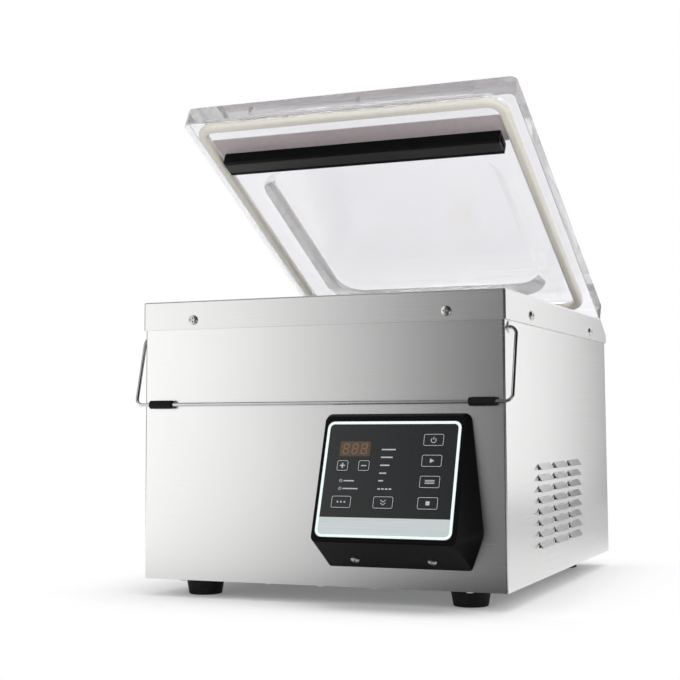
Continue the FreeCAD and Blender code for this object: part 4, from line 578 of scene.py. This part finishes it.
class SEALER_OT_bail(bpy.types.Operator):
    """Polished wire bail and its bushes"""

    bl_idname = "sealer.bail"
    bl_label = "Bail"

    def execute(self, context):
        dress(finish("polished_wire", (0.6, 0.6, 0.605), roughness=0.16, metallic=METAL,
                     spread=0.02, grain=60.0, marks=0.04),
              "bail_wire")
        dress(finish("pressed_bush", (0.82, 0.82, 0.815), roughness=0.3, metallic=METAL,
                     spread=0.04, marks=0.05),
              "bail_bushes")
        return {"FINISHED"}


class SEALER_OT_controls(bpy.types.Operator):
    """Black moulded control box, charcoal sheet, keys and display window"""

    bl_idname = "sealer.controls"
    bl_label = "Control box"

    def execute(self, context):
        colours = settings()[1]
        dress(finish("black_moulding", tuple(colours.black), roughness=0.46, spread=0.06,
                     grain=1300.0, bump=0.16, marks=0.05, Specular_IOR_Level=0.1),
              "control_box", "power_inlet")
        dress(finish("charcoal_sheet", tuple(colours.charcoal), roughness=0.28, spread=0.04,
                     grain=1500.0, bump=0.04, marks=0.05, Specular_IOR_Level=0.5),
              "panel_overlay", *("key_" + name for name in KEYS))
        dress(finish("tinted_window", (0.07, 0.043, 0.026), roughness=0.25, spread=0.03,
                     grain=300.0, marks=0.05),
              "display_window")
        dress(finish("display_block", (0.02, 0.014, 0.012), roughness=0.4, spread=0.05,
                     grain=500.0),
              "display_digits")
        dress(finish("snap_dome", (0.6, 0.6, 0.58), roughness=0.25, metallic=METAL, spread=0.04),
              "key_domes")
        return {"FINISHED"}


class SEALER_OT_seal_bar(bpy.types.Operator):
    """Seal bar: channel, pale insulator, flat heating wire and brown tape on turned posts"""

    bl_idname = "sealer.seal_bar"
    bl_label = "Seal bar"

    def execute(self, context):
        dress(finish("plain_aluminium", (0.66, 0.67, 0.68), roughness=0.32, metallic=METAL,
                     spread=0.06, lines=BAR_LINES, marks=0.05),
              "seal_carrier")
        dress(finish("insulator_sheet", (0.72, 0.70, 0.64), roughness=0.6, spread=0.05,
                     grain=500.0),
              "seal_insulator")
        dress(finish("heating_wire", (0.35, 0.30, 0.26), roughness=0.38, metallic=METAL,
                     spread=0.06, grain=700.0),
              "heating_strip")
        dress(finish("release_tape", (0.25, 0.15, 0.075), roughness=0.5, spread=0.1,
                     shift=(0.33, 0.21, 0.11), lines=TAPE_WEAVE, bump=0.2, marks=0.1),
              "seal_tape")
        dress(finish("turned_steel", (0.6, 0.6, 0.6), roughness=0.2, metallic=METAL, spread=0.05,
                     lines=POST_RINGS),
              "lift_posts")
        dress(finish("die_cast", (0.45, 0.46, 0.47), roughness=0.42, metallic=METAL, spread=0.08,
                     grain=300.0, bump=0.15),
              "lift_cylinders", "pump_head")
        return {"FINISHED"}


class SEALER_OT_inside(bpy.types.Operator):
    """Pump, transformer, valves and boards inside the case"""

    bl_idname = "sealer.inside"
    bl_label = "Inside"

    def execute(self, context):
        dress(finish("motor_paint", (0.08, 0.09, 0.10), roughness=0.45, spread=0.06, grain=500.0,
                     bump=0.1),
              "pump_motor")
        dress(finish("turned_brass", (0.52, 0.36, 0.13), roughness=0.3, metallic=METAL, spread=0.06,
                     grain=400.0, marks=0.1),
              "vacuum_port", "vacuum_valve", "vent_valve")
        dress(finish("varnished_core", (0.02, 0.02, 0.022), roughness=0.4, spread=0.08,
                     lines=CORE_SHEETS, bump=0.2),
              "transformer_core")
        dress(finish("taped_winding", (0.5, 0.28, 0.04), roughness=0.45, spread=0.08,
                     lines=WINDING_TURNS, bump=0.2),
              "transformer_coil")
        dress(finish("green_board", (0.01, 0.06, 0.025), roughness=0.35, spread=0.08, grain=260.0,
                     bump=0.1),
              "power_board", "control_board")
        dress(finish("white_nylon", (0.75, 0.75, 0.72), roughness=0.45, spread=0.05, grain=800.0,
                     bump=0.05),
              "board_posts")
        return {"FINISHED"}


class SEALER_OT_panel_print(bpy.types.Operator):
    """Pale border round the panel and the silver band below the keys"""

    bl_idname = "sealer.panel_print"
    bl_label = "Panel border and band"

    def execute(self, context):
        sizes, colours, _ = settings()
        line = sizes.border_line
        border = finish("pale_border", tuple(colours.border), roughness=0.4, spread=0.05)
        path = rounded_path(PANEL_WIDTH - line - BORDER_GAP, PANEL_HEIGHT - line - BORDER_GAP,
                            sizes.border_corner + line / 2)
        frame_line = ribbon(path, line, True, 0.0, sizes.ink)
        printed("panel_border", [(frame_line, (0.0, PANEL_HEIGHT / 2))], border,
                "case")
        band = finish("silver_band", tuple(colours.band), roughness=0.42, metallic=0.15,
                      spread=0.06, lines=BAND_LINES)
        height = sizes.band_bottom - sizes.band_top
        outline = rounded_path(PANEL_WIDTH - 2 * line - BAND_GAP, height, BAND_CORNER,
                               BAND_CORNER_STEPS)
        patch = pad(outline, 0.0, sizes.ink * BAND_INK)
        printed("panel_band", [(patch, (0.0, sizes.band_top + height / 2))], band,
                "case")
        return {"FINISHED"}


class SEALER_OT_key_print(bpy.types.Operator):
    """Outline and generic symbol on every key"""

    bl_idname = "sealer.key_print"
    bl_label = "Key print"

    def symbol(self, name, ink):
        """Shapes of one key's symbol, each with its place about the key's middle."""
        up = KEY_FACE
        if name == "power":
            ring = round_path(POWER_RADIUS, *POWER_ENDS)
            return [(ribbon(ring, POWER_LINE, False, up, ink), POWER_RING_AT),
                    (pad(bar(POWER_LINE, POWER_STEM), up, ink), POWER_STEM_AT)]
        if name == "start":
            return [(pad(np.array(START_POINTS), up, ink), (0, 0))]
        if name == "stop":
            return [(pad(bar(STOP_SIDE, STOP_SIDE), up, ink), (0, 0))]
        if name == "seal":
            return [(pad(bar(*SEAL_LINE), up, ink), (0, row)) for row in SEAL_ROWS]
        if name == "mode":
            return [(pad(round_path(MODE_DOT), up, ink), (column, 0)) for column in MODE_COLUMNS]
        if name == "vacuum":
            chevron = ribbon(np.array(VACUUM_POINTS), VACUUM_LINE, False, up, ink)
            return [(chevron, (0, row)) for row in VACUUM_ROWS]
        if name == "plus":
            return [(pad(cross(PLUS_SIZE, PLUS_LINE), up, ink), (0, 0))]
        return [(pad(bar(*MINUS_LINE), up, ink), (0, 0))]

    def execute(self, context):
        sizes = settings()[0]
        material = ink_finish()
        for name, ((width, height), across, down) in KEYS.items():
            path = rounded_path(width - KEY_INSET, height - KEY_INSET, KEY_CORNER)
            shapes = [(ribbon(path, sizes.key_line, True, KEY_FACE, sizes.ink), (0, 0))]
            shapes += self.symbol(name, sizes.ink)
            placed = [(shape, (across + dx, down + dy)) for shape, (dx, dy) in shapes]
            printed("print_" + name, placed, material, "key_" + name + "_body")
        return {"FINISHED"}


class SEALER_OT_level_print(bpy.types.Operator):
    """Five level marks, a row of dashes and two timer marks on the sheet"""

    bl_idname = "sealer.level_print"
    bl_label = "Level and timer marks"

    def execute(self, context):
        ink = settings()[0].ink
        shapes = []
        for row, down in enumerate(LEVEL_ROWS):
            length = LEVEL_LONGEST - LEVEL_STEP * row
            mark = pad(bar(length, LEVEL_LINE), 0.0, ink)
            shapes.append((mark, (LEVEL_LEFT + length / 2, down)))
        dash = pad(bar(DASH_LENGTH, LEVEL_LINE), 0.0, ink)
        shapes += [(dash, (DASH_FIRST + DASH_PITCH * k, DASH_ROW)) for k in range(DASHES)]
        dial = ribbon(round_path(DIAL_RADIUS), DIAL_LINE, True, 0.0, ink)
        hand = pad(bar(*DIAL_HAND), 0.0, ink)
        for down, length, middle in TIMER_MARKS:
            shapes.append((dial, (DIAL_ACROSS, down)))
            shapes.append((hand, (DIAL_ACROSS, down - DIAL_HAND_RISE)))
            shapes.append((pad(bar(length, TIMER_LINE), 0.0, ink), (middle, down)))
        printed("level_marks", shapes, ink_finish(), "case")
        return {"FINISHED"}


class SEALER_OT_display(bpy.types.Operator):
    """Three unlit seven-segment digits on the face of the tinted window"""

    bl_idname = "sealer.display"
    bl_label = "Display digits"

    def segment(self, length, line, upright):
        """Six-cornered segment: a bar whose ends come to a point."""
        a, b = length / 2, line / 2
        outline = np.array([[-a, 0], [-a + b, -b], [a - b, -b], [a, 0], [a - b, b], [-a + b, b]])
        return outline[:, ::-1] * np.array([1, -1]) if upright else outline

    def execute(self, context):
        amber = finish("unlit_amber", (0.17, 0.10, 0.055), roughness=0.35, spread=0.04,
                       grain=600.0)
        height = settings()[0].digit_height
        width = height * DIGIT_ASPECT
        shapes = []
        for place in DIGIT_PLACES:
            middle = WINDOW_AT[0] + place * DIGIT_PITCH
            for dx, dy, upright in SEGMENTS:
                length = (height / 2 if upright else width) - SEGMENT_GAP
                outline = self.segment(length, SEGMENT_LINE, upright)
                lean = -dy * height * DIGIT_LEAN
                shapes.append((pad(outline, WINDOW_FACE, SEGMENT_INK),
                               (middle + dx * width + lean, WINDOW_AT[1] + dy * height)))
        printed("display_segments", shapes, amber, "case")
        return {"FINISHED"}


class SEALER_OT_stage(bpy.types.Operator):
    """Pale floor, even studio light, reflection cards and the camera"""

    bl_idname = "sealer.stage"
    bl_label = "Stage"

    def background_rays(self, tree):
        """One for straight, glossy and see-through rays, nought for the rest."""
        path = tree.nodes.new("ShaderNodeLightPath")
        seen = path.outputs["Is Camera Ray"]
        for kind in ("Is Glossy Ray", "Is Transmission Ray"):
            either = tree.nodes.new("ShaderNodeMath")
            either.operation = "MAXIMUM"
            tree.links.new(seen, either.inputs[0])
            tree.links.new(path.outputs[kind], either.inputs[1])
            seen = either.outputs[0]
        return seen

    def sky(self, strength):
        """Even light; straight, glossy and see-through rays meet white."""
        world = bpy.data.worlds.new("studio")
        bpy.context.scene.world = world
        world.use_nodes = True
        nodes, links = world.node_tree.nodes, world.node_tree.links
        even = nodes["Background"]
        even.inputs["Color"].default_value = WHITE
        even.inputs["Strength"].default_value = strength
        white = nodes.new("ShaderNodeBackground")
        white.inputs["Color"].default_value = WHITE
        white.inputs["Strength"].default_value = 1.0
        mix = nodes.new("ShaderNodeMixShader")
        links.new(self.background_rays(world.node_tree), mix.inputs["Fac"])
        links.new(even.outputs[0], mix.inputs[1])
        links.new(white.outputs[0], mix.inputs[2])
        links.new(mix.outputs[0], nodes["World Output"].inputs["Surface"])

    def floor(self):
        """Wide floor: its own shading near the machine, plain white further out."""
        mesh = flat_mesh("floor", (-FLOOR_HALF, -FLOOR_HALF, 0), (FLOOR_HALF, FLOOR_HALF, 0))
        material = bpy.data.materials.new("pale_floor")
        material.use_nodes = True
        nodes, links = material.node_tree.nodes, material.node_tree.links
        shader = nodes["Principled BSDF"]
        shader.inputs["Base Color"].default_value = FLOOR_COLOUR
        shader.inputs["Roughness"].default_value = FLOOR_ROUGHNESS
        shader.inputs["Specular IOR Level"].default_value = FLOOR_SPECULAR
        glow = nodes.new("ShaderNodeEmission")
        glow.inputs["Strength"].default_value = 1.0
        place = nodes.new("ShaderNodeTexCoord")
        aside = nodes.new("ShaderNodeVectorMath")
        aside.operation = "ABSOLUTE"
        past = nodes.new("ShaderNodeVectorMath")
        past.operation = "SUBTRACT"
        past.inputs[1].default_value = FOOTPRINT
        outside = nodes.new("ShaderNodeVectorMath")
        outside.operation = "MAXIMUM"
        reach = nodes.new("ShaderNodeVectorMath")
        reach.operation = "LENGTH"
        fade = nodes.new("ShaderNodeMapRange")
        fade.interpolation_type = "SMOOTHSTEP"
        fade.inputs["From Min"].default_value, fade.inputs["From Max"].default_value = SHADOW_FADE
        sees = nodes.new("ShaderNodeMath")
        sees.operation = "MULTIPLY"
        mix = nodes.new("ShaderNodeMixShader")
        links.new(place.outputs["Object"], aside.inputs[0])
        links.new(aside.outputs[0], past.inputs[0])
        links.new(past.outputs[0], outside.inputs[0])
        links.new(outside.outputs[0], reach.inputs[0])
        links.new(reach.outputs["Value"], fade.inputs["Value"])
        links.new(fade.outputs["Result"], sees.inputs[0])
        links.new(self.background_rays(material.node_tree), sees.inputs[1])
        links.new(sees.outputs[0], mix.inputs["Fac"])
        links.new(shader.outputs[0], mix.inputs[1])
        links.new(glow.outputs[0], mix.inputs[2])
        links.new(mix.outputs[0], nodes["Material Output"].inputs["Surface"])
        mesh.materials.append(material)
        floor = bpy.data.objects.new("floor", mesh)
        bpy.context.scene.collection.objects.link(floor)

    def soft_box(self, name, place, side, power):
        """Square lamp that lights the machine and isn't seen itself."""
        light = bpy.data.lights.new(name, "AREA")
        light.shape = "RECTANGLE"
        light.size = light.size_y = side
        light.energy = power
        lamp = bpy.data.objects.new(name, light)
        lamp.location = place
        aim = Vector(LAMP_AIM) - Vector(place)
        lamp.rotation_euler = aim.to_track_quat("-Z", "Y").to_euler()
        lamp.visible_camera = False
        lamp.visible_glossy = False
        bpy.context.scene.collection.objects.link(lamp)

    def card(self, name, low, high, axis, ends, brightness, turn):
        """Flat card seen only in reflections; its brightness eases along one of its axes."""
        mesh = flat_mesh(name, low, high)
        material = bpy.data.materials.new(name + "_light")
        material.use_nodes = True
        nodes, links = material.node_tree.nodes, material.node_tree.links
        nodes.remove(nodes["Principled BSDF"])
        glow = nodes.new("ShaderNodeEmission")
        place = nodes.new("ShaderNodeTexCoord")
        split = nodes.new("ShaderNodeSeparateXYZ")
        run = nodes.new("ShaderNodeMapRange")
        run.interpolation_type = "SMOOTHSTEP"
        run.inputs["From Min"].default_value, run.inputs["From Max"].default_value = ends
        run.inputs["To Min"].default_value, run.inputs["To Max"].default_value = brightness
        links.new(place.outputs["Object"], split.inputs[0])
        links.new(split.outputs[axis], run.inputs["Value"])
        links.new(run.outputs["Result"], glow.inputs["Strength"])
        links.new(glow.outputs[0], nodes["Material Output"].inputs["Surface"])
        mesh.materials.append(material)
        card = bpy.data.objects.new(name, mesh)
        bpy.context.scene.collection.objects.link(card)
        card.rotation_euler = (0, 0, math.radians(turn))
        card.visible_camera = False
        card.visible_diffuse = False
        card.visible_shadow = False
        card.visible_transmission = False

    def camera(self, stage):
        """Camera at its solved place, turned by yaw, then pitch, then roll."""
        lens = bpy.data.cameras.new("photo_camera")
        lens.lens = stage.lens
        lens.sensor_width = SENSOR_WIDTH
        lens.shift_x, lens.shift_y = LENS_SHIFT
        lens.clip_start = NEAR_CLIP
        a, p, r = stage.yaw, stage.pitch, stage.roll
        ahead = Vector((-math.sin(a) * math.cos(p), math.cos(a) * math.cos(p), math.sin(p)))
        level = Vector((math.cos(a), math.sin(a), 0))
        upright = level.cross(ahead)
        right = level * math.cos(r) + upright * math.sin(r)
        up = upright * math.cos(r) - level * math.sin(r)
        x, y, z = CAMERA_AT
        place = Vector((x, y + (PANEL_TOP_Y - SOLVED_PANEL_Y), z)) * MM
        camera = bpy.data.objects.new("photo_camera", lens)
        turn = Matrix((right, up, -ahead)).transposed().to_4x4()
        camera.matrix_world = Matrix.Translation(place) @ turn
        bpy.context.scene.collection.objects.link(camera)
        bpy.context.scene.camera = camera

    def execute(self, context):
        stage = settings()[2]
        bpy.context.scene.view_settings.view_transform = "Standard"
        self.sky(stage.sky)
        self.floor()
        for name, place, side, share in LAMPS:
            self.soft_box(name, place, side, stage.soft_box * share)
        for card in CARDS:
            self.card(*card)
        self.camera(stage)
        return {"FINISHED"}


class SEALER_PT_tools(bpy.types.Panel):
    """Lists the sealer's pieces"""

    bl_label = "Sealer"
    bl_idname = "SEALER_PT_tools"
    bl_space_type = "VIEW_3D"
    bl_region_type = "UI"
    bl_category = "Sealer"

    def draw(self, context):
        for operator in OPERATORS:
            self.layout.operator(operator.bl_idname)


OPERATORS = (
    SEALER_OT_stage,
    SEALER_OT_case,
    SEALER_OT_lid,
    SEALER_OT_bail,
    SEALER_OT_controls,
    SEALER_OT_seal_bar,
    SEALER_OT_inside,
    SEALER_OT_panel_print,
    SEALER_OT_key_print,
    SEALER_OT_level_print,
    SEALER_OT_display,
)
GROUP_TYPES = (PanelPrintSettings, FinishSettings, StageSettings)


def register():
    for cls in GROUP_TYPES + OPERATORS + (SEALER_PT_tools,):
        bpy.utils.register_class(cls)
    bpy.types.Scene.sealer_print = bpy.props.PointerProperty(type=PanelPrintSettings)
    bpy.types.Scene.sealer_finish = bpy.props.PointerProperty(type=FinishSettings)
    bpy.types.Scene.sealer_stage = bpy.props.PointerProperty(type=StageSettings)


def unregister():
    del bpy.types.Scene.sealer_stage
    del bpy.types.Scene.sealer_finish
    del bpy.types.Scene.sealer_print
    for cls in reversed(GROUP_TYPES + OPERATORS + (SEALER_PT_tools,)):
        bpy.utils.unregister_class(cls)


def main():
    register()
    for operator in OPERATORS:
        area, name = operator.bl_idname.split(".")
        getattr(getattr(bpy.ops, area), name)()


if __name__ == "__main__":
    main()
